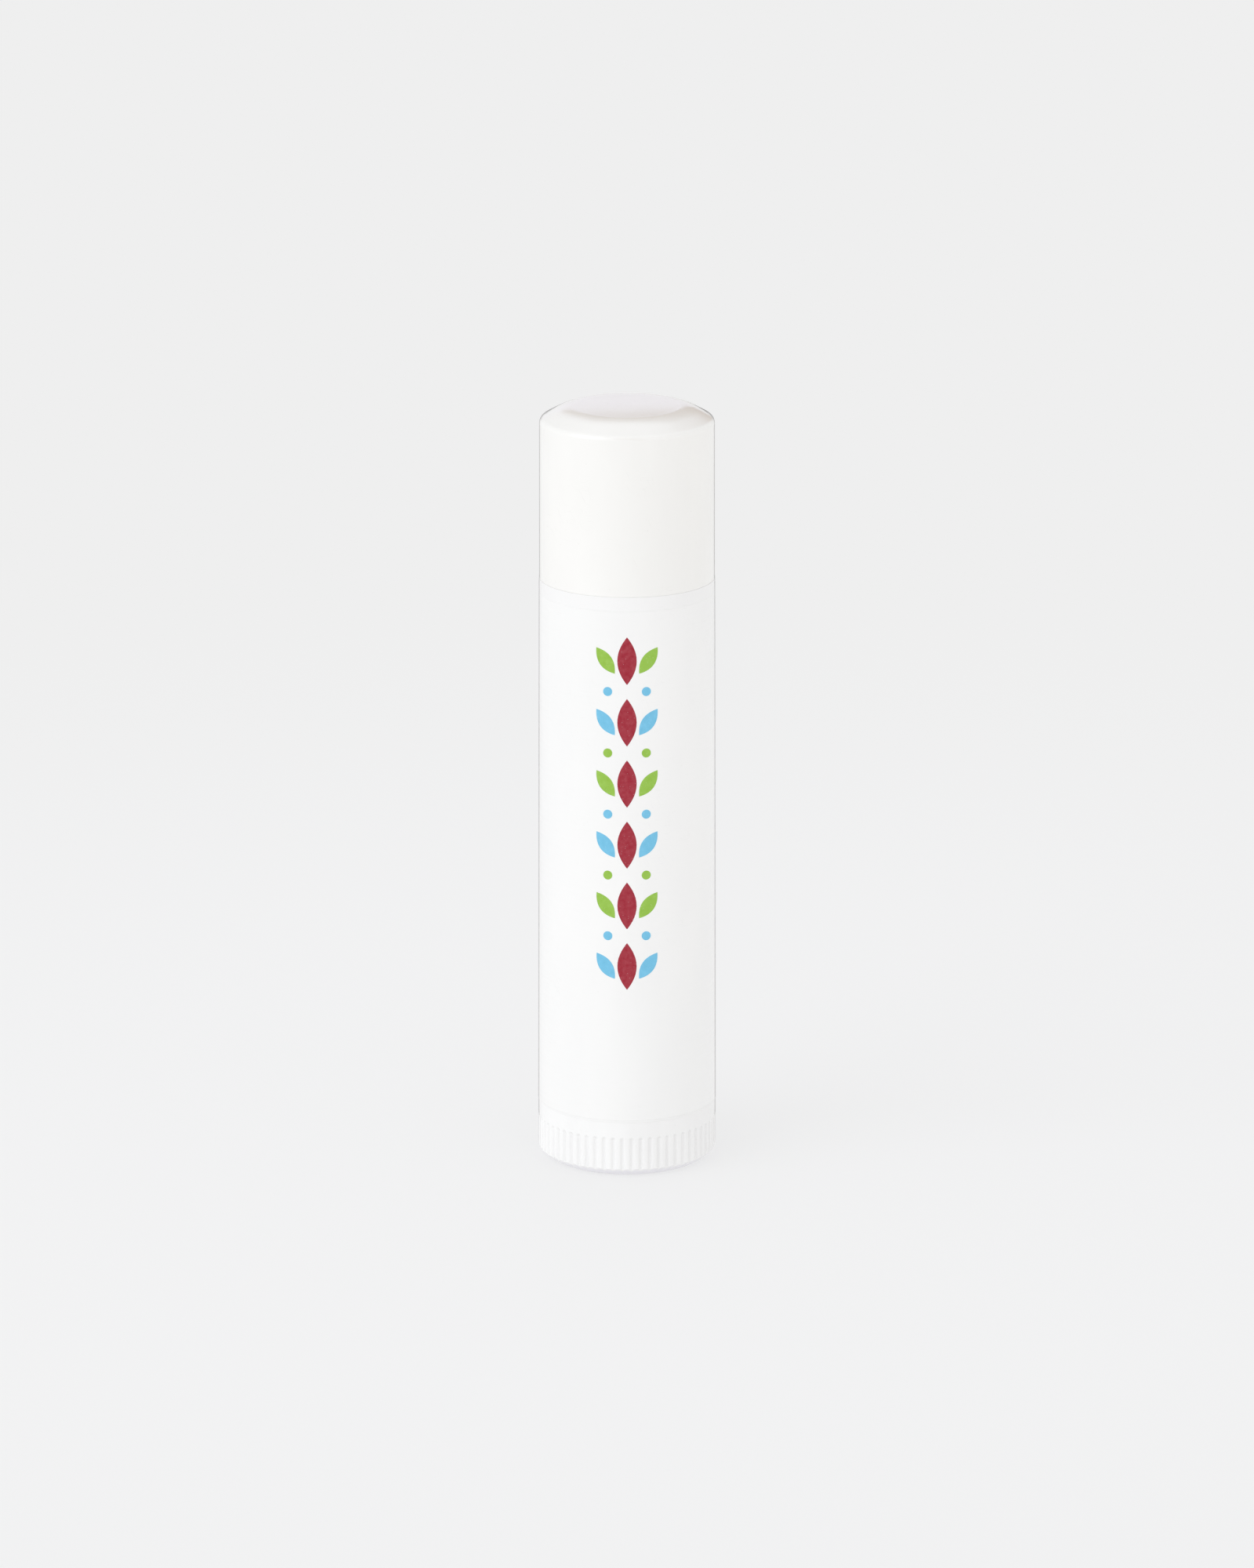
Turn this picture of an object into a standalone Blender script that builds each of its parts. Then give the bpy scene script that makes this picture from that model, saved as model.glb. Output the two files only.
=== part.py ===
"""Lip balm stick: a round twist-up tube with a push-on cap, modelled closed.

The tube stands on its dial, with its axis on Z and the origin at the centre of its foot. The dial
and the threaded spindle are one moulding. It turns in the barrel's floor, and its left-hand thread
lifts a carrier that four ribs in the bore keep from turning. The carrier holds the stick of balm.
"""
import math

import bmesh
import bpy
from mathutils import Matrix

MM = 0.001
FULL_TURN = 2.0 * math.pi
QUARTER_TURN = math.pi / 2.0

# Barrel
TUBE_DIAMETER = 16.3 * MM  # over the barrel's foot, its widest place
BARREL_LENGTH = 49.2 * MM  # foot to shoulder
BARREL_DRAFT = 0.2 * MM  # what the outer radius loses from foot to shoulder
BARREL_EDGE = 0.15 * MM  # rounding of the foot and of the shoulder
FOOT_WALL = 1.7 * MM  # wall round the counterbore in the foot
FLOOR_THICKNESS = 1.0 * MM  # web that holds the spindle
NECK_WALL = 0.75 * MM
NECK_CHAMFER_SHARE = 0.45  # of the neck's wall, outside its mouth
BORE_CHAMFER_SHARE = 0.2  # of the neck's wall, inside its mouth
NECK_CLEARANCE = 0.3 * MM  # between the neck and the cap's wall
SNAP_BEAD_HEIGHT = 2.6 * MM  # neck's bead above the shoulder
SNAP_BEAD_HALF_WIDTH = 0.45 * MM
BEAD_GAP = 0.2 * MM  # between the neck's bead and the cap's bead under it
BEAD_SHARE = 0.4  # of the neck's clearance, which each bead fills

# Ribs in the bore
KEY_COUNT = 4
KEY_WIDTH = 0.6 * MM
KEY_DEPTH = 0.3 * MM
KEY_CLEARANCE = 0.2 * MM
KEY_TOP_MARGIN = 1.0 * MM  # they stop this far under the neck's mouth

# Wrap label, which lies in a shallow panel of the barrel
LABEL_THICKNESS = 0.1 * MM
LABEL_CLEARANCE = 0.1 * MM
LABEL_FOOT_LAND = 0.05 * MM  # bare barrel between the rounded foot and the panel
LABEL_TOP_LAND = 1.15 * MM  # bare barrel between the panel and the rounded shoulder
LABEL_BUTT_GAP = 0.3 * MM  # where its two ends meet at the back

# Dial, the ribbed wheel under the barrel
DIAL_HEIGHT = 5.0 * MM
DIAL_SETBACK = 0.02 * MM  # dial inside the barrel's foot, on the radius
DIAL_GAP = 0.3 * MM  # between the dial and the barrel's foot
DIAL_EDGE = 0.15 * MM
FOOT_SLOPE_WIDTH = 1.0 * MM  # slope between the ring it stands on and its side
FOOT_SLOPE_HEIGHT = 0.7 * MM
FOOT_SLOPE_BULGE = 0.12 * MM  # how far that slope is rounded out
DIAL_FLOOR = 1.2 * MM
FOOT_RECESS = 0.4 * MM  # hollow under the dial
FOOT_RIM_WIDTH = 1.3 * MM  # ring that the tube stands on
POCKET_WIDTH = 0.7 * MM  # between the ribbed wall and the spigot
SPIGOT_HEIGHT = 1.2 * MM  # ring over the dial that centres it in the barrel
SPIGOT_WALL = 0.8 * MM
SPIGOT_CHAMFER = 0.2 * MM
TURNING_CLEARANCE = 0.2 * MM

# Grip ribs of the dial, left between grooves that run out below into the foot's slope
GROOVE_COUNT = 60
GROOVE_WIDTH = 0.34 * MM
GROOVE_DEPTH = 0.14 * MM
GROOVE_TOP_BAND = 0.9 * MM  # plain band over the grooves
RIB_END_RISE = 0.15 * MM  # height of the slope under their ends
FOOT_BAND_STEP = 0.16 * MM  # foot's slope inside the ribs' crests

# Spindle
STEM_STEP = 0.3 * MM  # stem outside the thread, where it passes the barrel's floor
STEM_FILLET = 0.4 * MM
SNAP_LIP = 0.55 * MM  # barb outside the stem that keeps the dial in
SNAP_LAND = 0.25 * MM
SNAP_CONE = 1.1 * MM
THREAD_DIAMETER = 4.4 * MM
THREAD_DEPTH = 0.6 * MM
THREAD_LEAD = 3.2 * MM
CREST_WIDTH = 0.7 * MM
FLANK_WIDTH = 0.5 * MM
TIP_DEPTH = 3.5 * MM  # spindle's tip under the neck's mouth
TIP_CHAMFER = 1.4 * MM
TIP_SHARE = 0.4  # of the thread's diameter, the flat end of the tip

# Carrier, the cup that climbs the spindle
CARRIER_REST_GAP = 0.3 * MM  # over the snap barb
CARRIER_CLEARANCE = 0.2 * MM
CUP_HEIGHT = 5.0 * MM
CUP_WALL = 0.7 * MM
CUP_FLOOR = 1.0 * MM
HUB_HEIGHT = 6.4 * MM
HUB_WALL = 1.1 * MM
THREAD_CLEARANCE = 0.2 * MM
FIN_COUNT = 4
FIN_THICKNESS = 0.6 * MM
FIN_HEIGHT = 2.6 * MM

# Stick of balm
BALM_CLEARANCE = 0.2 * MM
BALM_DOME = 1.3 * MM  # over the neck's mouth
SPINDLE_CLEARANCE = 0.35 * MM  # of the bore that the spindle makes
SPINDLE_END_CLEARANCE = 0.5 * MM

# Cap
CAP_HEIGHT = 15.7 * MM
CAP_GAP = 0.2 * MM  # between the cap's rim and the shoulder
CAP_SETBACK = 0.03 * MM  # cap inside the shoulder, on the radius
CAP_DRAFT = 0.04 * MM
CAP_WALL = 0.85 * MM
CAP_TOP_THICKNESS = 1.2 * MM
CAP_SLOPE_WIDTH = 2.7 * MM  # sloping border round the flat of the closed end
CAP_SLOPE_HEIGHT = 1.3 * MM
CAP_TOP_ROUND = 3.5 * MM  # rounding between the flat and the slope
CAP_SIDE_ROUND = 0.4 * MM  # rounding between the slope and the side
CAP_INNER_RISE = 1.0 * MM  # height of the same slope inside
CAP_EDGE = 0.1 * MM
CAP_LEAD_IN = 0.25 * MM
CAP_HEADROOM = 2.9 * MM  # over the balm

# Fineness
BODY_STEPS = 60
STICK_STEPS = 48
ROD_STEPS = 24
THREAD_STEPS = 14
GROOVE_STEPS = 6
WELD = 0.0000001
CUT_OVERRUN = 1.0 * MM
SMOOTH_ANGLE = math.radians(35.0)

# Heights that the pieces share
BARREL_FOOT = DIAL_HEIGHT + DIAL_GAP
SHOULDER = BARREL_FOOT + BARREL_LENGTH
CAP_RIM = SHOULDER + CAP_GAP
CAP_TOP = CAP_RIM + CAP_HEIGHT
BALM_TOP = CAP_TOP - CAP_TOP_THICKNESS - CAP_HEADROOM
NECK_TOP = BALM_TOP - BALM_DOME
FLOOR_UNDERSIDE = DIAL_HEIGHT + SPIGOT_HEIGHT + DIAL_GAP
FLOOR_TOP = FLOOR_UNDERSIDE + FLOOR_THICKNESS
POCKET_FLOOR = FOOT_RECESS + DIAL_FLOOR
SNAP_FOOT = FLOOR_TOP + TURNING_CLEARANCE
SNAP_TOP = SNAP_FOOT + SNAP_LAND + SNAP_CONE
SPINDLE_TIP = NECK_TOP - TIP_DEPTH
CARRIER_FOOT = SNAP_TOP + CARRIER_REST_GAP
BALM_FOOT = CARRIER_FOOT + CUP_FLOOR + BALM_CLEARANCE
PANEL_FOOT = BARREL_EDGE + LABEL_FOOT_LAND  # over the barrel's foot, as the next is
PANEL_TOP = BARREL_LENGTH - BARREL_EDGE - LABEL_TOP_LAND

# Radii that the pieces share
FOOT_RADIUS = TUBE_DIAMETER / 2.0
SHOULDER_RADIUS = FOOT_RADIUS - BARREL_DRAFT
CAP_RIM_RADIUS = SHOULDER_RADIUS - CAP_SETBACK
CAP_TOP_RADIUS = CAP_RIM_RADIUS - CAP_DRAFT
NECK_RADIUS = CAP_TOP_RADIUS - CAP_WALL - NECK_CLEARANCE
BORE_RADIUS = NECK_RADIUS - NECK_WALL
BEAD_PROUD = NECK_CLEARANCE * BEAD_SHARE
COUNTERBORE_RADIUS = FOOT_RADIUS - FOOT_WALL
DIAL_RADIUS = FOOT_RADIUS - DIAL_SETBACK
SPIGOT_RADIUS = COUNTERBORE_RADIUS - TURNING_CLEARANCE
CREST_RADIUS = THREAD_DIAMETER / 2.0
ROOT_RADIUS = CREST_RADIUS - THREAD_DEPTH
TIP_RADIUS = CREST_RADIUS * TIP_SHARE
STEM_RADIUS = CREST_RADIUS + STEM_STEP
FLOOR_HOLE_RADIUS = STEM_RADIUS + TURNING_CLEARANCE
CARRIER_RADIUS = BORE_RADIUS - CARRIER_CLEARANCE
CUP_RADIUS = CARRIER_RADIUS - CUP_WALL
HUB_RADIUS = CREST_RADIUS + THREAD_CLEARANCE + HUB_WALL
BALM_RADIUS = BORE_RADIUS - BALM_CLEARANCE
KEY_TIP_RADIUS = BORE_RADIUS - KEY_DEPTH


def clear_scene():
    for thing in list(bpy.data.objects):
        bpy.data.objects.remove(thing, do_unlink=True)


def plastic(name, colour, roughness):
    """A plain moulded finish."""
    material = bpy.data.materials.new(name)
    material.use_nodes = True
    shader = material.node_tree.nodes["Principled BSDF"]
    shader.inputs["Base Color"].default_value = (*colour, 1.0)
    shader.inputs["Roughness"].default_value = roughness
    shader.inputs["Metallic"].default_value = 0.0
    return material


def add_object(name, shape, material=None):
    """Puts a bmesh in the scene as a named object, shaded smooth up to its sharp edges."""
    bmesh.ops.recalc_face_normals(shape, faces=shape.faces[:])
    mesh = bpy.data.meshes.new(name)
    shape.to_mesh(mesh)
    shape.free()
    mesh.shade_smooth()
    mesh.set_sharp_from_angle(angle=SMOOTH_ANGLE)
    if material:
        mesh.materials.append(material)
    thing = bpy.data.objects.new(name, mesh)
    bpy.context.collection.objects.link(thing)
    return thing


def carried_by(parent, thing, height):
    """Places an object on the axis at a world height, under the empty that moves it."""
    thing.parent = parent
    thing.location.z = height - parent.location.z
    return thing


def body(name, height):
    """An empty on the tube's axis that a moving group hangs from."""
    empty = bpy.data.objects.new(name, None)
    empty.location.z = height
    bpy.context.collection.objects.link(empty)
    return empty


def combine(thing, tool, operation):
    """Joins a guide to an object or cuts it out, and hides the guide."""
    tool.hide_render = True
    tool.display_type = "WIRE"
    tool.parent = thing.parent
    tool.location = thing.location
    step = thing.modifiers.new(tool.name, "BOOLEAN")
    step.operation = operation
    step.solver = "EXACT"
    step.object = tool


def arc(centre, radii, start, end, steps):
    """Points of an elliptical arc in the (radius, height) plane."""
    points = []
    for step in range(steps + 1):
        angle = start + (end - start) * step / steps
        points.append((centre[0] + radii[0] * math.cos(angle), centre[1] + radii[1] * math.sin(angle)))
    return points


def bead(radius, height, proud):
    """Three points of a low round ring on a wall: under it, its crest and over it."""
    return [
        (radius, height - SNAP_BEAD_HALF_WIDTH),
        (radius + proud, height),
        (radius, height + SNAP_BEAD_HALF_WIDTH),
    ]


def turned(outline, steps, looped=False, sweep=FULL_TURN):
    """Turns an outline of (radius, height) points round Z into a closed solid."""
    shape = bmesh.new()
    points = [shape.verts.new((radius, 0.0, height)) for radius, height in outline]
    pairs = list(zip(points, points[1:]))
    if looped:
        pairs.append((points[-1], points[0]))
    edges = [shape.edges.new(pair) for pair in pairs]
    bmesh.ops.spin(
        shape, geom=points + edges, cent=(0.0, 0.0, 0.0), axis=(0.0, 0.0, 1.0),
        dvec=(0.0, 0.0, 0.0), angle=sweep, steps=steps, use_merge=sweep == FULL_TURN)
    bmesh.ops.remove_doubles(shape, verts=shape.verts[:], dist=WELD)
    bmesh.ops.holes_fill(shape, edges=shape.edges[:], sides=0)
    return shape


def blocks(count, first_angle, inner, outer, width, foot, top):
    """Equal upright blocks that stand round the axis, each from an inner to an outer radius."""
    shape = bmesh.new()
    for number in range(count):
        angle = first_angle + FULL_TURN * number / count
        along = (math.cos(angle), math.sin(angle))
        corners = []
        for radius, side in ((inner, -0.5), (outer, -0.5), (outer, 0.5), (inner, 0.5)):
            across = side * width
            corners.append((radius * along[0] - across * along[1], radius * along[1] + across * along[0]))
        face = shape.faces.new([shape.verts.new((x, y, foot)) for x, y in corners])
        raised = bmesh.ops.extrude_face_region(shape, geom=[face], use_keep_orig=True)["geom"]
        lifted = [item for item in raised if isinstance(item, bmesh.types.BMVert)]
        bmesh.ops.translate(shape, verts=lifted, vec=(0.0, 0.0, top - foot))
    return shape


def thread_form(foot, turns, clearance):
    """A solid left-hand threaded rod that starts at a height, or with a clearance its cutter.

    One pitch of the outline is screwed up the axis, each turn welds to the next, and a fan of faces
    from the axis closes each end.
    """
    root = ROOT_RADIUS + clearance
    crest = CREST_RADIUS + clearance
    crest_foot = THREAD_LEAD - FLANK_WIDTH - CREST_WIDTH
    outline = [
        (root, clearance),
        (root, crest_foot - FLANK_WIDTH - clearance),
        (crest, crest_foot - clearance),
        (crest, crest_foot + CREST_WIDTH + clearance),
        (root, THREAD_LEAD + clearance),
    ]
    shape = bmesh.new()
    points = [shape.verts.new((radius, 0.0, foot + height)) for radius, height in outline]
    edges = [shape.edges.new(pair) for pair in zip(points, points[1:])]
    bmesh.ops.spin(
        shape, geom=points + edges, cent=(0.0, 0.0, 0.0), axis=(0.0, 0.0, 1.0),
        dvec=(0.0, 0.0, THREAD_LEAD / THREAD_STEPS), angle=-FULL_TURN * turns,
        steps=THREAD_STEPS * turns, use_merge=False)
    bmesh.ops.remove_doubles(shape, verts=shape.verts[:], dist=WELD)
    middle = foot + THREAD_LEAD * (turns + 1) / 2.0
    open_edges = [edge for edge in shape.edges if edge.is_boundary]
    for low_end in (True, False):
        end_edges = [edge for edge in open_edges if (edge.verts[0].co.z < middle) == low_end]
        heights = [vert.co.z for edge in end_edges for vert in edge.verts]
        centre = shape.verts.new((0.0, 0.0, (min(heights) + max(heights)) / 2.0))
        for edge in end_edges:
            shape.faces.new((edge.verts[0], edge.verts[1], centre))
    return shape


def barrel_radius(height):
    """Outer radius of the barrel at a height over its foot."""
    return FOOT_RADIUS - BARREL_DRAFT * height / BARREL_LENGTH


def make_barrel(tube, finish):
    """The outer tube: label panel, shoulder, neck with its bead, bore and floor web."""
    panel = LABEL_THICKNESS + LABEL_CLEARANCE
    neck_chamfer = NECK_WALL * NECK_CHAMFER_SHARE
    bore_chamfer = NECK_WALL * BORE_CHAMFER_SHARE
    neck_top = NECK_TOP - BARREL_FOOT
    floor_top = FLOOR_TOP - BARREL_FOOT
    floor_underside = FLOOR_UNDERSIDE - BARREL_FOOT
    edge = (BARREL_EDGE, BARREL_EDGE)
    outline = [(COUNTERBORE_RADIUS, 0.0)]
    outline += arc((FOOT_RADIUS - BARREL_EDGE, BARREL_EDGE), edge, -QUARTER_TURN, 0.0, 2)
    outline += [
        (barrel_radius(PANEL_FOOT), PANEL_FOOT),
        (barrel_radius(PANEL_FOOT) - panel, PANEL_FOOT),
        (barrel_radius(PANEL_TOP) - panel, PANEL_TOP),
        (barrel_radius(PANEL_TOP), PANEL_TOP),
    ]
    shoulder_edge = (SHOULDER_RADIUS - BARREL_EDGE, BARREL_LENGTH - BARREL_EDGE)
    outline += arc(shoulder_edge, edge, 0.0, QUARTER_TURN, 2)
    outline.append((NECK_RADIUS, BARREL_LENGTH))
    outline += bead(NECK_RADIUS, BARREL_LENGTH + SNAP_BEAD_HEIGHT, BEAD_PROUD)
    outline += [
        (NECK_RADIUS, neck_top - neck_chamfer),
        (NECK_RADIUS - neck_chamfer, neck_top),
        (BORE_RADIUS + bore_chamfer, neck_top),
        (BORE_RADIUS, neck_top - bore_chamfer),
        (BORE_RADIUS, floor_top),
        (FLOOR_HOLE_RADIUS, floor_top),
        (FLOOR_HOLE_RADIUS, floor_underside),
        (COUNTERBORE_RADIUS, floor_underside),
    ]
    barrel = add_object("barrel", turned(outline, BODY_STEPS, looped=True), finish)
    carried_by(tube, barrel, BARREL_FOOT)
    ribs = blocks(
        KEY_COUNT, 0.0, KEY_TIP_RADIUS, BORE_RADIUS + NECK_WALL / 2.0, KEY_WIDTH,
        floor_top - FLOOR_THICKNESS / 2.0, neck_top - KEY_TOP_MARGIN)
    combine(barrel, add_object("bore_ribs", ribs), "UNION")


def make_wrap_label(tube, finish):
    """A thin film round the barrel, whose ends meet at the back."""
    foot = PANEL_FOOT + LABEL_CLEARANCE
    length = PANEL_TOP - LABEL_CLEARANCE - foot
    foot_radius = barrel_radius(foot)
    top_radius = barrel_radius(foot + length)
    outline = [
        (foot_radius - LABEL_THICKNESS, 0.0),
        (foot_radius, 0.0),
        (top_radius, length),
        (top_radius - LABEL_THICKNESS, length),
    ]
    sweep = FULL_TURN - LABEL_BUTT_GAP / FOOT_RADIUS
    label = add_object("wrap_label", turned(outline, BODY_STEPS, looped=True, sweep=sweep), finish)
    label.rotation_euler.z = QUARTER_TURN + (FULL_TURN - sweep) / 2.0
    carried_by(tube, label, BARREL_FOOT + foot)


def wheel_outline():
    """The dial's floor, its outer wall and its spigot, from the axis below to the axis above."""
    wall_inner = SPIGOT_RADIUS + POCKET_WIDTH
    spigot_top = DIAL_HEIGHT + SPIGOT_HEIGHT
    spigot_inner = SPIGOT_RADIUS - SPIGOT_WALL
    band_radius = DIAL_RADIUS - FOOT_BAND_STEP
    rim_outer = band_radius - FOOT_SLOPE_WIDTH
    rim_inner = rim_outer - FOOT_RIM_WIDTH
    outline = [
        (0.0, FOOT_RECESS),
        (rim_inner - FOOT_RECESS, FOOT_RECESS),
        (rim_inner, 0.0),
        (rim_outer, 0.0),
        ((rim_outer + band_radius + FOOT_SLOPE_BULGE) / 2.0, (FOOT_SLOPE_HEIGHT - FOOT_SLOPE_BULGE) / 2.0),
        (band_radius, FOOT_SLOPE_HEIGHT),
        (DIAL_RADIUS, FOOT_SLOPE_HEIGHT + RIB_END_RISE),
    ]
    outline += arc(
        (DIAL_RADIUS - DIAL_EDGE, DIAL_HEIGHT - DIAL_EDGE), (DIAL_EDGE, DIAL_EDGE), 0.0, QUARTER_TURN, 2)
    outline += [
        (wall_inner, DIAL_HEIGHT),
        (wall_inner, POCKET_FLOOR),
        (SPIGOT_RADIUS, POCKET_FLOOR),
        (SPIGOT_RADIUS, spigot_top - SPIGOT_CHAMFER),
        (SPIGOT_RADIUS - SPIGOT_CHAMFER, spigot_top),
        (spigot_inner, spigot_top),
        (spigot_inner, POCKET_FLOOR),
        (0.0, POCKET_FLOOR),
    ]
    return outline


def stem_outline():
    """The smooth stem and the barb that snaps through the barrel's floor."""
    return [
        (0.0, POCKET_FLOOR - STEM_FILLET),
        (STEM_RADIUS + 2.0 * STEM_FILLET, POCKET_FLOOR - STEM_FILLET),
        (STEM_RADIUS, POCKET_FLOOR + STEM_FILLET),
        (STEM_RADIUS, SNAP_FOOT),
        (STEM_RADIUS + SNAP_LIP, SNAP_FOOT),
        (STEM_RADIUS + SNAP_LIP, SNAP_FOOT + SNAP_LAND),
        (CREST_RADIUS + STEM_STEP / 2.0, SNAP_TOP),
        (0.0, SNAP_TOP),
    ]


def grip_grooves():
    """Upright grooves with round top ends and open feet, which leave the dial's ribs between them."""
    radius = (GROOVE_WIDTH ** 2 / 4.0 + GROOVE_DEPTH ** 2) / (2.0 * GROOVE_DEPTH)
    top = DIAL_HEIGHT - DIAL_EDGE - GROOVE_TOP_BAND - radius
    outline = [(0.0, -CUT_OVERRUN), (radius, -CUT_OVERRUN)]
    outline += arc((0.0, top), (radius, radius), 0.0, QUARTER_TURN, 2)
    shape = turned(outline, GROOVE_STEPS)
    pitch = FULL_TURN / GROOVE_COUNT
    bmesh.ops.translate(shape, verts=shape.verts[:], vec=(DIAL_RADIUS - GROOVE_DEPTH + radius, 0.0, 0.0))
    bmesh.ops.rotate(shape, verts=shape.verts[:], matrix=Matrix.Rotation(pitch / 2.0, 3, "Z"))
    first = shape.verts[:] + shape.edges[:] + shape.faces[:]
    for number in range(1, GROOVE_COUNT):
        copy = bmesh.ops.duplicate(shape, geom=first)["geom"]
        moved = [item for item in copy if isinstance(item, bmesh.types.BMVert)]
        bmesh.ops.rotate(shape, verts=moved, matrix=Matrix.Rotation(pitch * number, 3, "Z"))
    return shape


def tip_cutter():
    """Everything over and outside the spindle's pointed end."""
    reach = CREST_RADIUS + CUT_OVERRUN
    slope = TIP_CHAMFER / (CREST_RADIUS - TIP_RADIUS)
    shoulder = SPINDLE_TIP - slope * (reach - TIP_RADIUS)
    top = SPINDLE_TIP + 2.0 * THREAD_LEAD + CUT_OVERRUN
    outline = [
        (0.0, SPINDLE_TIP),
        (TIP_RADIUS, SPINDLE_TIP),
        (reach, shoulder),
        (reach + CUT_OVERRUN, shoulder),
        (reach + CUT_OVERRUN, top),
        (0.0, top),
    ]
    return turned(outline, ROD_STEPS)


def make_dial_screw(dial, finish):
    """The ribbed wheel and the threaded spindle, one moulding."""
    screw = add_object("dial_screw", turned(wheel_outline(), BODY_STEPS), finish)
    carried_by(dial, screw, 0.0)
    combine(screw, add_object("grip_grooves", grip_grooves()), "DIFFERENCE")
    combine(screw, add_object("spindle_stem", turned(stem_outline(), ROD_STEPS)), "UNION")
    turns = math.ceil((SPINDLE_TIP - POCKET_FLOOR) / THREAD_LEAD)
    combine(screw, add_object("spindle_thread", thread_form(POCKET_FLOOR, turns, 0.0)), "UNION")
    combine(screw, add_object("spindle_tip", tip_cutter()), "DIFFERENCE")


def make_carrier(carriage, finish):
    """The cup under the balm, with its threaded hub, its notches for the ribs and its fins."""
    outline = [
        (0.0, 0.0),
        (CARRIER_RADIUS, 0.0),
        (CARRIER_RADIUS, CUP_HEIGHT),
        (CUP_RADIUS, CUP_HEIGHT),
        (CUP_RADIUS, CUP_FLOOR),
        (HUB_RADIUS, CUP_FLOOR),
        (HUB_RADIUS, HUB_HEIGHT),
        (0.0, HUB_HEIGHT),
    ]
    carrier = add_object("carrier", turned(outline, STICK_STEPS), finish)
    carried_by(carriage, carrier, CARRIER_FOOT)
    fins = blocks(
        FIN_COUNT, FULL_TURN / FIN_COUNT / 2.0, HUB_RADIUS - HUB_WALL / 2.0, CUP_RADIUS + CUP_WALL / 2.0,
        FIN_THICKNESS, CUP_FLOOR / 2.0, CUP_FLOOR + FIN_HEIGHT)
    combine(carrier, add_object("cup_fins", fins), "UNION")
    notches = blocks(
        KEY_COUNT, 0.0, KEY_TIP_RADIUS - KEY_CLEARANCE, BORE_RADIUS + CUT_OVERRUN,
        KEY_WIDTH + 2.0 * KEY_CLEARANCE, -CUT_OVERRUN, CUP_HEIGHT + CUT_OVERRUN)
    combine(carrier, add_object("rib_notches", notches), "DIFFERENCE")
    # the cutter starts a whole number of turns up the spindle's own thread
    first_turn = math.floor((CARRIER_FOOT - CUT_OVERRUN - POCKET_FLOOR) / THREAD_LEAD) - 1
    cutter_foot = POCKET_FLOOR + first_turn * THREAD_LEAD - CARRIER_FOOT
    turns = math.ceil((HUB_HEIGHT + CUT_OVERRUN - cutter_foot) / THREAD_LEAD)
    combine(carrier, add_object("nut_thread", thread_form(cutter_foot, turns, THREAD_CLEARANCE)), "DIFFERENCE")


def make_balm_stick(carriage, finish):
    """The stick of balm: its foot fills the cup, and the spindle passes up its middle."""
    cup_top = CARRIER_FOOT + CUP_HEIGHT + BALM_CLEARANCE - BALM_FOOT
    hub_top = CARRIER_FOOT + HUB_HEIGHT + BALM_CLEARANCE - BALM_FOOT
    foot_inner = HUB_RADIUS + BALM_CLEARANCE
    foot_outer = CUP_RADIUS - BALM_CLEARANCE
    bore = CREST_RADIUS + SPINDLE_CLEARANCE
    bore_top = SPINDLE_TIP + SPINDLE_END_CLEARANCE - BALM_FOOT
    mouth = NECK_TOP - BALM_FOOT
    outline = [
        (0.0, bore_top),
        (TIP_RADIUS + SPINDLE_CLEARANCE, bore_top),
        (bore, bore_top - TIP_CHAMFER),
        (bore, hub_top),
        (foot_inner, hub_top),
        (foot_inner, 0.0),
        (foot_outer, 0.0),
        (foot_outer, cup_top),
        (BALM_RADIUS, cup_top),
    ]
    outline += arc((0.0, mouth), (BALM_RADIUS, BALM_DOME), 0.0, QUARTER_TURN, 6)
    balm = add_object("balm_stick", turned(outline, STICK_STEPS), finish)
    carried_by(carriage, balm, BALM_FOOT)
    flutes = blocks(
        KEY_COUNT, 0.0, KEY_TIP_RADIUS - KEY_CLEARANCE, BORE_RADIUS + CUT_OVERRUN,
        KEY_WIDTH + 2.0 * KEY_CLEARANCE, -CUT_OVERRUN, mouth - KEY_TOP_MARGIN + KEY_CLEARANCE)
    combine(balm, add_object("rib_flutes", flutes), "DIFFERENCE")
    slots = blocks(
        FIN_COUNT, FULL_TURN / FIN_COUNT / 2.0, HUB_RADIUS - HUB_WALL / 2.0, BALM_RADIUS,
        FIN_THICKNESS + 2.0 * BALM_CLEARANCE, -CUT_OVERRUN, FIN_HEIGHT)
    combine(balm, add_object("fin_slots", slots), "DIFFERENCE")


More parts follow.
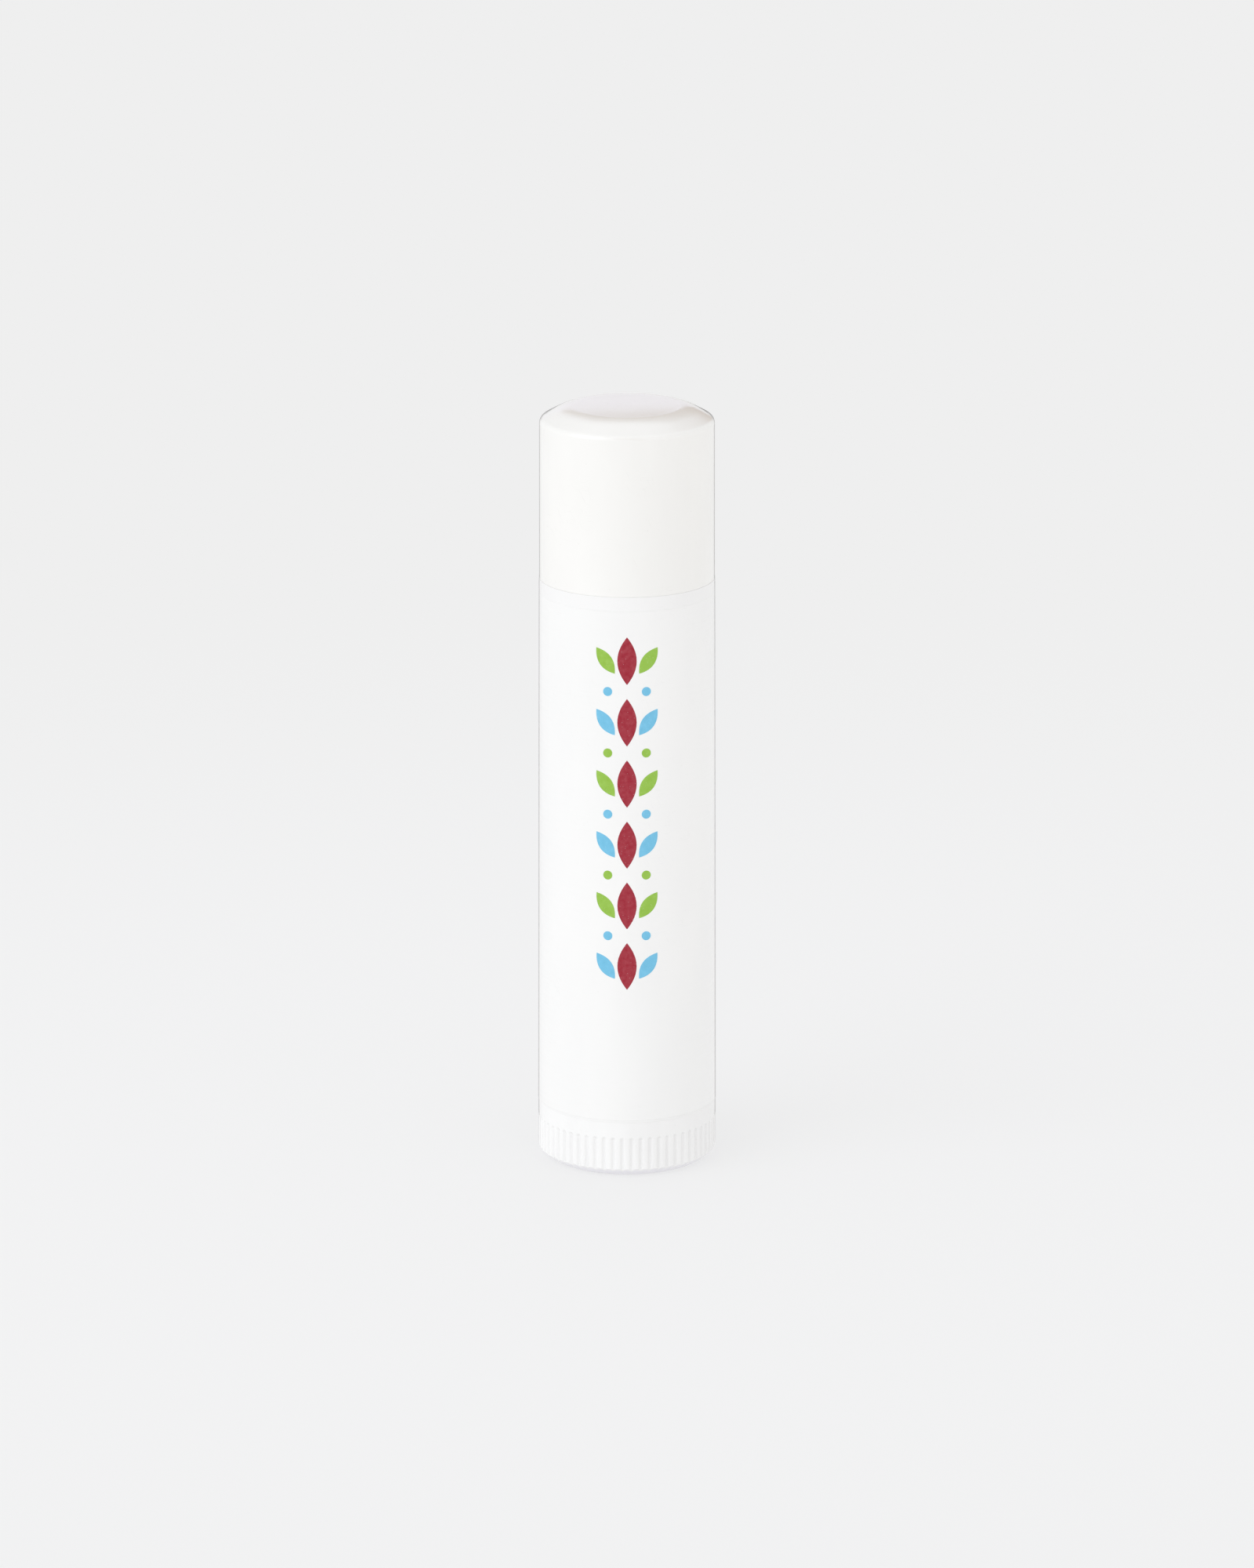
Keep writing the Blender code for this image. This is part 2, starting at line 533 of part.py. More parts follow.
def make_cap(lift, finish):
    """The push-on cap, a thin cup with a sloping border round its flat and a bead in its mouth."""
    inner_rim = CAP_RIM_RADIUS - CAP_WALL
    inner_top = CAP_TOP_RADIUS - CAP_WALL
    ceiling = CAP_HEIGHT - CAP_TOP_THICKNESS
    bead_height = SNAP_BEAD_HEIGHT - CAP_GAP - 2.0 * SNAP_BEAD_HALF_WIDTH - BEAD_GAP
    slope = math.atan2(CAP_SLOPE_HEIGHT, CAP_SLOPE_WIDTH)
    flat_end = CAP_TOP_RADIUS - CAP_SLOPE_WIDTH - CAP_TOP_ROUND * math.tan(slope / 2.0)
    side_top = CAP_HEIGHT - CAP_SLOPE_HEIGHT - CAP_SIDE_ROUND * math.tan((QUARTER_TURN - slope) / 2.0)
    top_round = (CAP_TOP_ROUND, CAP_TOP_ROUND)
    side_round = (CAP_SIDE_ROUND, CAP_SIDE_ROUND)
    outline = [(0.0, CAP_HEIGHT)]
    outline += arc((flat_end, CAP_HEIGHT - CAP_TOP_ROUND), top_round, QUARTER_TURN, QUARTER_TURN - slope, 3)
    outline += arc((CAP_TOP_RADIUS - CAP_SIDE_ROUND, side_top), side_round, QUARTER_TURN - slope, 0.0, 2)
    outline += arc((CAP_RIM_RADIUS - CAP_EDGE, CAP_EDGE), (CAP_EDGE, CAP_EDGE), 0.0, -QUARTER_TURN, 2)
    outline += [(inner_rim + CAP_LEAD_IN, 0.0), (inner_rim, CAP_LEAD_IN)]
    outline += bead(inner_rim, bead_height, -BEAD_PROUD)
    inner_run = CAP_INNER_RISE / math.tan(slope)
    outline += [(inner_top, ceiling - CAP_INNER_RISE), (inner_top - inner_run, ceiling), (0.0, ceiling)]
    cap = add_object("cap", turned(outline, BODY_STEPS), finish)
    carried_by(lift, cap, CAP_RIM)


def main():
    clear_scene()
    shell_white = plastic("shell_white", (0.85, 0.84, 0.83), 0.35)
    film_white = plastic("film_white", (0.86, 0.86, 0.87), 0.3)
    balm_cream = plastic("balm_cream", (0.86, 0.78, 0.6), 0.4)
    tube = body("tube", 0.0)
    dial = body("dial", 0.0)
    carriage = body("carriage", CARRIER_FOOT)
    lift = body("cap_lift", CAP_RIM)
    make_barrel(tube, shell_white)
    make_wrap_label(tube, film_white)
    make_dial_screw(dial, shell_white)
    make_carrier(carriage, shell_white)
    make_balm_stick(carriage, balm_cream)
    make_cap(lift, shell_white)


main()
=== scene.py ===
"""Lip balm stick, dressed over its packed frame.

The file is laid out as an add-on and run as a script. Each operator makes one piece of the tube
from the settings of its property group: the moulded cap, the barrel, the printed film round it,
the ribbed dial, its threaded spindle, the carrier's finish, the cast balm and the studio.
"""
import math

import bmesh
import bpy
from mathutils import Matrix, Vector


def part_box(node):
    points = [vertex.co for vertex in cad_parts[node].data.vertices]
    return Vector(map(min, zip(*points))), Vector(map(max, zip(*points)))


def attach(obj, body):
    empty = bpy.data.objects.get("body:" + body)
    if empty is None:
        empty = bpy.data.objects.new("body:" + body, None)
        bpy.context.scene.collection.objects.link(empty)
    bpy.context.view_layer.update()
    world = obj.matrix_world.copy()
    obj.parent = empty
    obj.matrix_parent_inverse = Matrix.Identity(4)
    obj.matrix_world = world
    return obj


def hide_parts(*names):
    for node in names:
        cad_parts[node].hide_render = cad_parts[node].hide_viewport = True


bl_info = {
    "name": "Lip balm stick",
    "version": (1, 0, 0),
    "blender": (4, 5, 0),
    "location": "View3D > Sidebar > Lip balm",
    "description": "Builds the fine surface, print and finishes of a twist-up balm tube",
    "category": "Object",
}

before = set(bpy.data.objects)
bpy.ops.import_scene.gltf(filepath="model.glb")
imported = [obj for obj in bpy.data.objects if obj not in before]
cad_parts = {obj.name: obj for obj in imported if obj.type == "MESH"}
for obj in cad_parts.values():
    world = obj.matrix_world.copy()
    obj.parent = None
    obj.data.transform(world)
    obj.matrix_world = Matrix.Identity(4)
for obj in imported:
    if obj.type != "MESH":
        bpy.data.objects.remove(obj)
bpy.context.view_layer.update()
CAP_LOW, CAP_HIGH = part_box("cap")
BARREL_LOW, BARREL_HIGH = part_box("barrel")
LABEL_LOW, LABEL_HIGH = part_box("wrap_label")
DIAL_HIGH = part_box("dial_screw")[1]
BALM_LOW, BALM_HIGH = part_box("balm_stick")

MM = 0.001
FULL_TURN = 2.0 * math.pi
QUARTER_TURN = math.pi / 2.0
FRONT = -QUARTER_TURN  # angle round the axis that faces the camera
ORIGIN = (0.0, 0.0, 0.0)
UPWARD = (0.0, 0.0, 1.0)

CAP_SINK = 0.196 * MM  # how much lower the cap's rim sits than the frame's, close over the shoulder
FILM_REACH = 0.096 * MM  # how far the film runs past the frame's, up and down
SLOPE_BEND = 1.5  # how much the slope under the dial's ribs steepens upwards

# Fineness of the meshes
BODY_STEPS = 144
ROD_STEPS = 72
THREAD_STEPS = 48
CURVE_STEPS = 8
MOTIF_STEPS = 36
HOLD = 0.04 * MM  # from a bend to the point that keeps the next flat stretch flat
WELD = 0.0000001
OVERRUN = 1.0 * MM
SMOOTH_ANGLE = math.radians(32.0)
EDGE_WEAR_AND_HIGHLIGHT_BEND = math.radians(25.0)  # bend of an edge that takes the full wear and the full painted highlight

# Columns of the dial's skin from the middle of one rib to the next, as shares of the pitch
COLUMN_SHARES = (0.0, 0.14, 0.24, 0.31, 0.37, 0.43, 0.5, 0.57, 0.63, 0.69, 0.76, 0.86)

# Rows of the dial's skin: on its slope, along its grooves, round their ends and on the band above
SLOPE_ROWS = 20
GROOVE_ROWS = 5
END_ROWS = 10
BAND_ROWS = 2

# Rings of a printed motif, from its middle to its underside: size, and height in ink thicknesses
INK_RINGS = (
    (0.0, 1.0), (0.25, 1.0), (0.5, 1.0), (0.75, 1.0), (0.95, 1.0), (1.0, 0.4),
    (1.0, -2.0), (0.5, -2.0), (0.0, -2.0),
)

PAINTED_SHADE_SPREAD = 0.25  # share of the foot slope's width over which its painted shade comes in

# Tones that use leaves on the plastics and the film
# Painted highlight, partly wear: the white that convex edges are lightened towards
WORN_HIGHLIGHT_WHITE = (0.97, 0.965, 0.95)
SCUFFED_PLASTIC = (0.6, 0.59, 0.57)
SCUFFED_FILM = (0.62, 0.61, 0.6)
DUST_GREY = (0.5, 0.47, 0.43)
SKIN_ROUGHNESS = 0.06  # of the plastics' smooth skin and of the film's varnish

# How the inks' density changes their tone
BARE_FILM = (0.86, 0.86, 0.86)  # the film in the inks' pinholes
FILM_WHITE = 0.9  # what shows through thin ink
THIN_INK = 0.03  # how much of it shows
THICK_INK = 0.92  # how bright thick ink is against plain ink

# Where the room's tones for gloss come in, as parts of a direction: upwards, or to the side
HAZE_RISE = (0.02, 0.2)
PATCH_RISE = (0.235, 0.36)
PATCH_LEFT = (-0.3, -0.12)
PATCH_RIGHT = (0.22, 0.5)
CEILING_RISE = (0.68, 0.88)


def length(name, description, default):
    """A length that is kept in metres."""
    return bpy.props.FloatProperty(
        name=name, description=description, default=default, min=0.0, precision=5, unit="LENGTH")


def share(name, description, default):
    """A part of a whole, from 0 to 1."""
    return bpy.props.FloatProperty(
        name=name, description=description, default=default, min=0.0, max=1.0, subtype="FACTOR")


def count(name, description, default):
    """A whole number of repeats."""
    return bpy.props.IntProperty(name=name, description=description, default=default, min=1)


def angle(name, description, default):
    """An angle, given in degrees."""
    return bpy.props.FloatProperty(
        name=name, description=description, default=math.radians(default), subtype="ANGLE", unit="ROTATION")


def colour(name, description, default):
    """A linear colour."""
    return bpy.props.FloatVectorProperty(
        name=name, description=description, default=default, size=3, min=0.0, max=1.0, subtype="COLOR")


def level(name, description, default):
    """A brightness, where 1 is white."""
    return bpy.props.FloatProperty(name=name, description=description, default=default, min=0.0)


def power(name, description, default):
    """A lamp's power in watts."""
    return bpy.props.FloatProperty(
        name=name, description=description, default=default, min=0.0, unit="POWER")


class CapSettings(bpy.types.PropertyGroup):
    """Sizes of the push-on cap."""
    rim_height: length("Rim height", "Height of the rim, close over the shoulder", CAP_LOW.z - CAP_SINK)
    top_height: length("Top height", "Height of the closed tube", CAP_HIGH.z)
    rim_radius: length("Rim radius", "Outer radius at the rim", CAP_HIGH.x)
    draft: length("Draft", "What the outer radius loses from rim to top", 0.04 * MM)
    wall: length("Wall", "Thickness of the side wall", 0.85 * MM)
    top_thickness: length("Top thickness", "Thickness of the closed end", 1.2 * MM)
    slope_width: length("Slope width", "Width of the sloping border round the flat top", 2.2 * MM)
    slope_height: length("Slope height", "Height of that border", 1.2 * MM)
    crown: length("Crown", "How far the flat top falls to its edge", 0.11 * MM)
    top_round: length("Top round", "Rounding between the flat and the slope", 4.0 * MM)
    side_round: length("Side round", "Rounding between the slope and the side", 0.6 * MM)
    inner_rise: length("Inner rise", "Height of the same slope inside", 1.0 * MM)
    inner_round: length("Inner round", "Rounding of the inner slope's lower end", 0.5 * MM)
    rim_edge: length("Rim edge", "Rounding of the rim's outer edge", 0.008 * MM)
    lead_in: length("Lead-in", "Slope inside the rim", 0.25 * MM)
    bead_height: length("Bead height", "Height of the inner bead over the rim", 1.496 * MM)
    bead_half_width: length("Bead half width", "Half the bead's width along the wall", 0.45 * MM)
    bead_proud: length("Bead relief", "How far the bead stands off the wall", 0.12 * MM)
    gate_radius: length("Gate radius", "Radius of the moulding gate inside the closed end", 0.9 * MM)
    gate_proud: length("Gate relief", "How far the gate's stub hangs down", 0.25 * MM)


class BarrelSettings(bpy.types.PropertyGroup):
    """Sizes of the barrel, with heights over its own foot."""
    foot_height: length("Foot height", "Height of the barrel's foot over the ground", BARREL_LOW.z)
    neck_top: length("Neck top", "Height of the neck's mouth over the ground", BARREL_HIGH.z)
    foot_radius: length("Foot radius", "Outer radius at the foot", BARREL_HIGH.x)
    body_length: length("Body length", "From the foot to the shoulder", 49.2 * MM)
    draft: length("Draft", "What the outer radius loses from foot to shoulder", 0.2 * MM)
    edge: length("Edge", "Rounding of the foot and of the shoulder", 0.015 * MM)
    foot_wall: length("Foot wall", "Wall round the hollow in the foot", 1.7 * MM)
    floor_underside: length("Floor underside", "Height of the inner floor's underside", 1.2 * MM)
    floor_thickness: length("Floor thickness", "Thickness of the inner floor", 1.0 * MM)
    floor_hole: length("Floor hole", "Radius of the hole that the stem turns in", 2.7 * MM)
    neck_radius: length("Neck radius", "Outer radius of the neck", 6.73 * MM)
    neck_wall: length("Neck wall", "Thickness of the neck", 0.75 * MM)
    mouth_chamfer: length("Mouth chamfer", "Chamfer outside the neck's mouth", 0.3375 * MM)
    bore_chamfer: length("Bore chamfer", "Chamfer inside the neck's mouth", 0.15 * MM)
    bead_height: length("Bead height", "Height of the neck's bead over the shoulder", 2.6 * MM)
    bead_half_width: length("Bead half width", "Half the bead's width along the neck", 0.45 * MM)
    bead_proud: length("Bead relief", "How far the bead stands off the neck", 0.12 * MM)
    panel_foot: length("Panel foot", "Lower end of the film's panel", 0.2 * MM)
    panel_top: length("Panel top", "Upper end of the film's panel", 47.9 * MM)
    panel_depth: length("Panel depth", "Depth of the film's panel", 0.11 * MM)
    rib_count: count("Bore ribs", "Ribs that keep the carrier from turning", 4)
    rib_width: length("Rib width", "Width of a bore rib", 0.6 * MM)
    rib_depth: length("Rib depth", "How far a bore rib stands into the bore", 0.3 * MM)
    rib_top_margin: length("Rib top margin", "From a rib's top to the neck's mouth", 1.0 * MM)


class FilmSettings(bpy.types.PropertyGroup):
    """Sizes of the printed film and of its motifs."""
    foot_height: length("Foot height", "Height of the film's lower edge", LABEL_LOW.z - FILM_REACH)
    top_height: length("Top height", "Height of the film's upper edge", LABEL_HIGH.z + FILM_REACH)
    thickness: length("Thickness", "Thickness of the film", 0.1 * MM)
    edge: length("Edge", "Rounding of the film's cut edges", 0.004 * MM)
    butt_gap: length("Butt gap", "Gap between the film's two ends at the back", 0.3 * MM)
    ink_thickness: length("Ink thickness", "How far the ink stands off the film", 0.012 * MM)
    print_middle: length("Print middle", "Height of the printed sprig's middle over the ground", 34.4 * MM)
    module_count: count("Modules", "Long leaves up the printed sprig", 6)
    module_pitch: length("Module pitch", "From one long leaf to the next", 5.7 * MM)
    leaf_length: length("Long leaf length", "Length of a long leaf", 4.4 * MM)
    leaf_width: length("Long leaf width", "Width of a long leaf", 1.75 * MM)
    side_length: length("Side leaf length", "Length of a side leaf", 2.9 * MM)
    side_width: length("Side leaf width", "Width of a side leaf", 1.25 * MM)
    side_offset: length("Side leaf offset", "From the sprig's middle line to a side leaf's middle", 1.95 * MM)
    side_tilt: angle("Side leaf tilt", "Lean of the side leaves off the upright", 36.0)
    berry_radius: length("Berry radius", "Radius of the round berries", 0.42 * MM)
    berry_offset: length("Berry offset", "From the middle line to a berry's middle", 1.75 * MM)


class DialSettings(bpy.types.PropertyGroup):
    """Sizes of the ribbed dial."""
    radius: length("Radius", "Radius over the rib crests", DIAL_HIGH.x)
    height: length("Height", "Height of the dial, close under the barrel", 5.295 * MM)
    edge: length("Edge", "Rounding of the top edge", 0.012 * MM)
    slope_width: length("Slope width", "Width of the slope between its standing ring and the ribs", 1.16 * MM)
    slope_height: length("Slope height", "Height of that slope, which cuts off the ribs", 0.85 * MM)
    ring_width: length("Ring width", "Width of the ring that it stands on", 1.3 * MM)
    recess: length("Recess", "Depth of the hollow underneath", 0.4 * MM)
    floor: length("Floor", "Thickness of the dial's floor", 1.2 * MM)
    wall_inner: length("Wall inner radius", "Inner radius of the ribbed wall", 6.95 * MM)
    spigot_radius: length("Spigot radius", "Outer radius of the ring that centres it", 6.25 * MM)
    spigot_wall: length("Spigot wall", "Thickness of that ring", 0.8 * MM)
    spigot_rise: length("Spigot rise", "Height of that ring over the dial", 0.905 * MM)
    spigot_chamfer: length("Spigot chamfer", "Chamfer on that ring", 0.2 * MM)
    rib_count: count("Ribs", "Grip ribs round the dial", 60)
    groove_width: length("Groove width", "Width of the groove between two ribs", 0.34 * MM)
    groove_depth: length("Groove depth", "Depth of the groove", 0.13 * MM)
    groove_lip: length("Groove lip", "Rounding where a groove meets the rib's crest", 0.12 * MM)
    crown: length("Crown", "How far a rib's crest falls to its sides", 0.02 * MM)
    top_band: length("Top band", "Plain band over the grooves", 1.5 * MM)
    # Painted shade: how much of the dial's painted grey the grooves take
    groove_painted_shade: share("Groove tint", "How much of the slope's shade the grooves take", 0.03)


class SpindleSettings(bpy.types.PropertyGroup):
    """Sizes of the stem, its barb and the lifting thread."""
    tip_height: length("Tip height", "Height of the spindle's tip over the ground", DIAL_HIGH.z)
    stem_radius: length("Stem radius", "Radius of the stem in the barrel's floor", 2.5 * MM)
    stem_fillet: length("Stem fillet", "Fillet where the stem leaves the dial", 0.4 * MM)
    barb_foot: length("Barb foot", "Height of the barb's flat underside over the ground", 7.7 * MM)
    barb_land: length("Barb land", "Height of the barb's rim", 0.25 * MM)
    barb_cone: length("Barb cone", "Height of the barb's cone", 1.1 * MM)
    barb_lip: length("Barb lip", "How far the barb stands off the stem", 0.55 * MM)
    thread_diameter: length("Thread diameter", "Outer diameter of the thread", 4.4 * MM)
    thread_depth: length("Thread depth", "Depth of the thread", 0.6 * MM)
    thread_lead: length("Thread lead", "Rise in one turn", 3.2 * MM)
    crest_width: length("Crest width", "Width of the thread's crest", 0.7 * MM)
    flank_width: length("Flank width", "Rise of each sloping flank", 0.5 * MM)
    tip_chamfer: length("Tip chamfer", "Length of the tapered tip", 1.4 * MM)
    tip_radius: length("Tip radius", "Radius of the tip's flat end", 0.88 * MM)


class BalmSettings(bpy.types.PropertyGroup):
    """Sizes of the cast stick."""
    foot_height: length("Foot height", "Height of the stick's foot over the ground", BALM_LOW.z)
    top_height: length("Top height", "Height of its dome over the ground", BALM_HIGH.z)
    radius: length("Radius", "Radius of the stick", BALM_HIGH.x)
    dome: length("Dome", "Height of the domed end", 1.3 * MM)
    foot_outer: length("Foot outer radius", "Radius of the foot inside the cup", 4.88 * MM)
    foot_inner: length("Foot inner radius", "Radius of the bore round the carrier's hub", 3.7 * MM)
    cup_depth: length("Cup depth", "Height of the foot that stands in the cup", 4.0 * MM)
    hub_depth: length("Hub depth", "Height of the bore round the hub", 5.4 * MM)
    bore: length("Bore", "Radius of the bore that the spindle makes", 2.55 * MM)
    bore_top: length("Bore top", "Height of the bore's end over the stick's foot", 51.45 * MM)
    bore_taper: length("Bore taper", "Length of the bore's tapered end", 1.4 * MM)
    tip_radius: length("Bore tip radius", "Radius of the bore's flat end", 1.23 * MM)
    flute_count: count("Flutes", "Flutes that the bore's ribs leave", 4)
    flute_width: length("Flute width", "Width of a flute", 1.0 * MM)
    flute_inner: length("Flute inner radius", "Radius of a flute's floor", 5.48 * MM)
    flute_top: length("Flute top", "Height of a flute's top over the stick's foot", 53.65 * MM)
    slot_width: length("Slot width", "Width of the slots round the carrier's fins", 1.0 * MM)
    slot_height: length("Slot height", "Height of those slots", 2.6 * MM)


class FinishSettings(bpy.types.PropertyGroup):
    """Colours and gloss of the plastics, the film, the inks and the balm."""
    cap_colour: colour("Cap colour", "Warm white of the cap", (0.882, 0.873, 0.845))
    cap_shade: colour("Cap shade", "Slightly greyer white that clouds the cap", (0.86, 0.85, 0.822))
    barrel_colour: colour("Barrel colour", "White of the barrel", (0.875, 0.87, 0.857))
    barrel_shade: colour("Barrel shade", "Slightly greyer white that clouds the barrel", (0.85, 0.845, 0.835))
    dial_colour: colour("Dial colour", "White of the dial", (0.89, 0.887, 0.875))
    # Painted shade: this cool grey stands in for the shade on the downward foot slope and in the grooves
    dial_painted_shade: colour("Dial shade", "Cool grey of the dial's foot slope and hollows", (0.8, 0.79, 0.83))
    film_colour: colour("Film colour", "White of the printed film", (0.883, 0.878, 0.862))
    film_shade: colour("Film shade", "Slightly greyer white that clouds the film", (0.862, 0.859, 0.846))
    red_ink: colour("Red ink", "Red of the long leaves", (0.35, 0.016, 0.034))
    green_ink: colour("Green ink", "Green of every other pair of side leaves", (0.3, 0.53, 0.065))
    blue_ink: colour("Blue ink", "Blue of the pairs between them", (0.175, 0.53, 0.76))
    carrier_colour: colour("Carrier colour", "Natural white of the carrier", (0.84, 0.84, 0.825))
    carrier_shade: colour("Carrier shade", "Greyer white that clouds the carrier", (0.79, 0.79, 0.77))
    balm_colour: colour("Balm colour", "Cream of the balm", (0.88, 0.80, 0.62))
    balm_bloom: colour("Balm bloom", "Paler bloom on the balm", (0.93, 0.88, 0.76))
    plastic_roughness: share("Plastic roughness", "Gloss of the moulded white plastic", 0.34)
    plastic_skin: share("Plastic skin", "Weight of the smooth skin that the mould leaves", 0.8)
    film_roughness: share("Film roughness", "Gloss of the film", 0.3)
    ink_roughness: share("Ink roughness", "Gloss of the inks", 0.26)
    balm_roughness: share("Balm roughness", "Gloss of the balm", 0.38)


class StudioSettings(bpy.types.PropertyGroup):
    """Floor, lamps and camera."""
    floor_colour: colour("Floor colour", "Pale grey of the floor and of the room", (0.863, 0.863, 0.863))
    floor_lit: share("Lit share", "Share of the floor that takes light and shadow near the tube", 0.35)
    floor_level: share("Lit level", "How bright the room makes a white floor", 0.89)
    floor_reach: length("Lit reach", "Radius in which the floor takes shadows", 110.0 * MM)
    floor_size: length("Floor size", "Half the floor's width", 3.0)
    sky_colour: colour("Sky colour", "Cool light from straight above", (0.985, 0.985, 1.0))
    haze_colour: colour("Haze colour", "Cool tone low in the room, which only gloss sees", (0.93, 0.9, 1.0))
    patch_colour: colour("Patch colour", "Dull warm patch behind the tube, for gloss", (0.34, 0.21, 0.11))
    ceiling_level: level("Ceiling level", "Brightness overhead, which only gloss sees", 1.15)
    sky_level: share("Sky level", "Brightness of the room straight above", 0.755)
    horizon_level: level("Horizon level", "What the walls add to it, most at the horizon", 0.8)
    left_power: power("Left lamp", "Power of the large softbox on the left", 1.85)
    left_azimuth: angle("Left azimuth", "Where it stands, from straight in front", -54.0)
    left_height: angle("Left height", "Its height over the horizon", 30.0)
    left_colour: colour("Left colour", "Its slightly cool light", (0.9, 0.95, 1.0))
    right_power: power("Right lamp", "Power of the softbox on the right", 0.1)
    right_azimuth: angle("Right azimuth", "Where it stands, from straight in front", 58.0)
    right_height: angle("Right height", "Its height over the horizon", 18.0)
    right_colour: colour("Right colour", "Its plain white light", (1.0, 1.0, 1.0))
    flag_radius: length("Flag radius", "Distance to the foot of the grey card behind the tube", 9.2 * MM)
    flag_taper: length("Flag taper", "How much nearer its top stands", 0.3 * MM)
    flag_height: length("Flag height", "Height of that card", 69.5 * MM)
    flag_fade: angle("Flag fade", "Where the card begins to pale, from straight behind the tube", 69.0)
    flag_spread: angle("Flag spread", "How far the card reaches to each side", 81.0)
    flag_level: share("Flag level", "Brightness of that card", 0.14)
    lamp_distance: length("Lamp distance", "From the tube to each softbox", 0.9)
    lamp_size: length("Lamp size", "Width of each softbox", 0.7)
    camera_distance: length("Camera distance", "From the tube's middle to the camera", 0.7003)
    camera_tilt: angle("Camera tilt", "Height of the camera over the horizon", 15.5)
    camera_aim: length("Camera aim", "Height on the tube's axis that it looks at", 35.04 * MM)
    camera_lens: bpy.props.FloatProperty(
        name="Lens", description="Focal length in millimetres", default=176.8, min=1.0, unit="CAMERA")


def arc(centre, radii, start, end, steps=CURVE_STEPS):
    """Points of an elliptical arc in the (radius, height) plane."""
    points = []
    for step in range(steps + 1):
        turn = start + (end - start) * step / steps
        points.append((centre[0] + radii[0] * math.cos(turn), centre[1] + radii[1] * math.sin(turn)))
    return points


def rounding(across, height, radius, start, end, steps=CURVE_STEPS):
    """Points of a round edge about a centre at a distance across and a height."""
    return arc((across, height), (radius, radius), start, end, steps)


def spaced(start, end, steps):
    """Even places from a start up to an end, without the end."""
    return [start + (end - start) * step / steps for step in range(steps)]


def round_axis(radius, turn, height):
    """A place at a distance from the axis, at an angle round it and at a height."""
    return (radius * math.cos(turn), radius * math.sin(turn), height)


def bump(radius, height, half_width, proud):
    """Points of a low rounded ring on a wall, from under it to over it."""
    points = []
    for step in range(CURVE_STEPS + 1):
        along = 2.0 * step / CURVE_STEPS - 1.0
        rise = math.cos(along * QUARTER_TURN) ** 2
        points.append((radius + proud * rise, height + along * half_width))
    return points


def held(outline, looped=False):
    """The outline with a point close to each end of its long stretches, so that they shade flat."""
    ends = outline[1:] + outline[:1] if looped else outline[1:]
    points = []
    for start, end in zip(outline, ends):
        points.append(start)
        span = math.dist(start, end)
        if span > 4.0 * HOLD:
            for along in (HOLD / span, 1.0 - HOLD / span):
                points.append(tuple(a + (b - a) * along for a, b in zip(start, end)))
    return points if looped else points + outline[-1:]


def turned(outline, steps=BODY_STEPS, looped=False, start=0.0, sweep=FULL_TURN):
    """Turns an outline of (radius, height) points round the axis into a closed solid."""
    shape = bmesh.new()
    points = [shape.verts.new((radius, 0.0, height)) for radius, height in outline]
    edges = [shape.edges.new(pair) for pair in zip(points, points[1:])]
    if looped:
        edges.append(shape.edges.new((points[-1], points[0])))
    bmesh.ops.rotate(shape, verts=points, cent=ORIGIN, matrix=Matrix.Rotation(start, 3, "Z"))
    bmesh.ops.spin(
        shape, geom=points + edges, cent=ORIGIN, axis=UPWARD, dvec=ORIGIN, angle=sweep, steps=steps,
        use_merge=sweep == FULL_TURN)
    bmesh.ops.remove_doubles(shape, verts=shape.verts[:], dist=WELD)
    bmesh.ops.holes_fill(shape, edges=shape.edges[:], sides=0)
    return shape


def blocks(number, first_angle, inner, outer, width, foot, top):
    """Equal upright blocks that stand round the axis, each from an inner to an outer radius."""
    shape = bmesh.new()
    for step in range(number):
        spin = Matrix.Rotation(first_angle + FULL_TURN * step / number, 4, "Z")
        middle = Matrix.Translation(((inner + outer) / 2.0, 0.0, (foot + top) / 2.0))
        scale = Matrix.Diagonal((outer - inner, width, top - foot, 1.0))
        bmesh.ops.create_cube(shape, size=1.0, matrix=spin @ middle @ scale)
    return shape


def thread_form(spindle, foot, turns):
    """The left-hand threaded rod: one pitch of its outline is screwed up the axis."""
    crest = spindle.thread_diameter / 2.0
    root = crest - spindle.thread_depth
    crest_foot = spindle.thread_lead - spindle.flank_width - spindle.crest_width
    outline = [
        (root, 0.0),
        (root, crest_foot - spindle.flank_width),
        (crest, crest_foot),
        (crest, crest_foot + spindle.crest_width),
        (root, spindle.thread_lead),
    ]
    shape = bmesh.new()
    points = [shape.verts.new((radius, 0.0, foot + height)) for radius, height in held(outline)]
    edges = [shape.edges.new(pair) for pair in zip(points, points[1:])]
    bmesh.ops.spin(
        shape, geom=points + edges, cent=ORIGIN, axis=UPWARD,
        dvec=(0.0, 0.0, spindle.thread_lead / THREAD_STEPS), angle=-FULL_TURN * turns,
        steps=THREAD_STEPS * turns, use_merge=False)
    bmesh.ops.remove_doubles(shape, verts=shape.verts[:], dist=WELD)
    middle = foot + spindle.thread_lead * (turns + 1) / 2.0
    open_edges = [edge for edge in shape.edges if edge.is_boundary]
    for low_end in (True, False):
        end_edges = [edge for edge in open_edges if (edge.verts[0].co.z < middle) == low_end]
        heights = [vert.co.z for edge in end_edges for vert in edge.verts]
        centre = shape.verts.new((0.0, 0.0, (min(heights) + max(heights)) / 2.0))
        for edge in end_edges:
            shape.faces.new((edge.verts[0], edge.verts[1], centre))
    return shape


def new_object(name, shape):
    """An object from a bmesh, which is used up."""
    mesh = bpy.data.meshes.new(name)
    shape.to_mesh(mesh)
    shape.free()
    thing = bpy.data.objects.new(name, mesh)
    bpy.context.collection.objects.link(thing)
    return thing


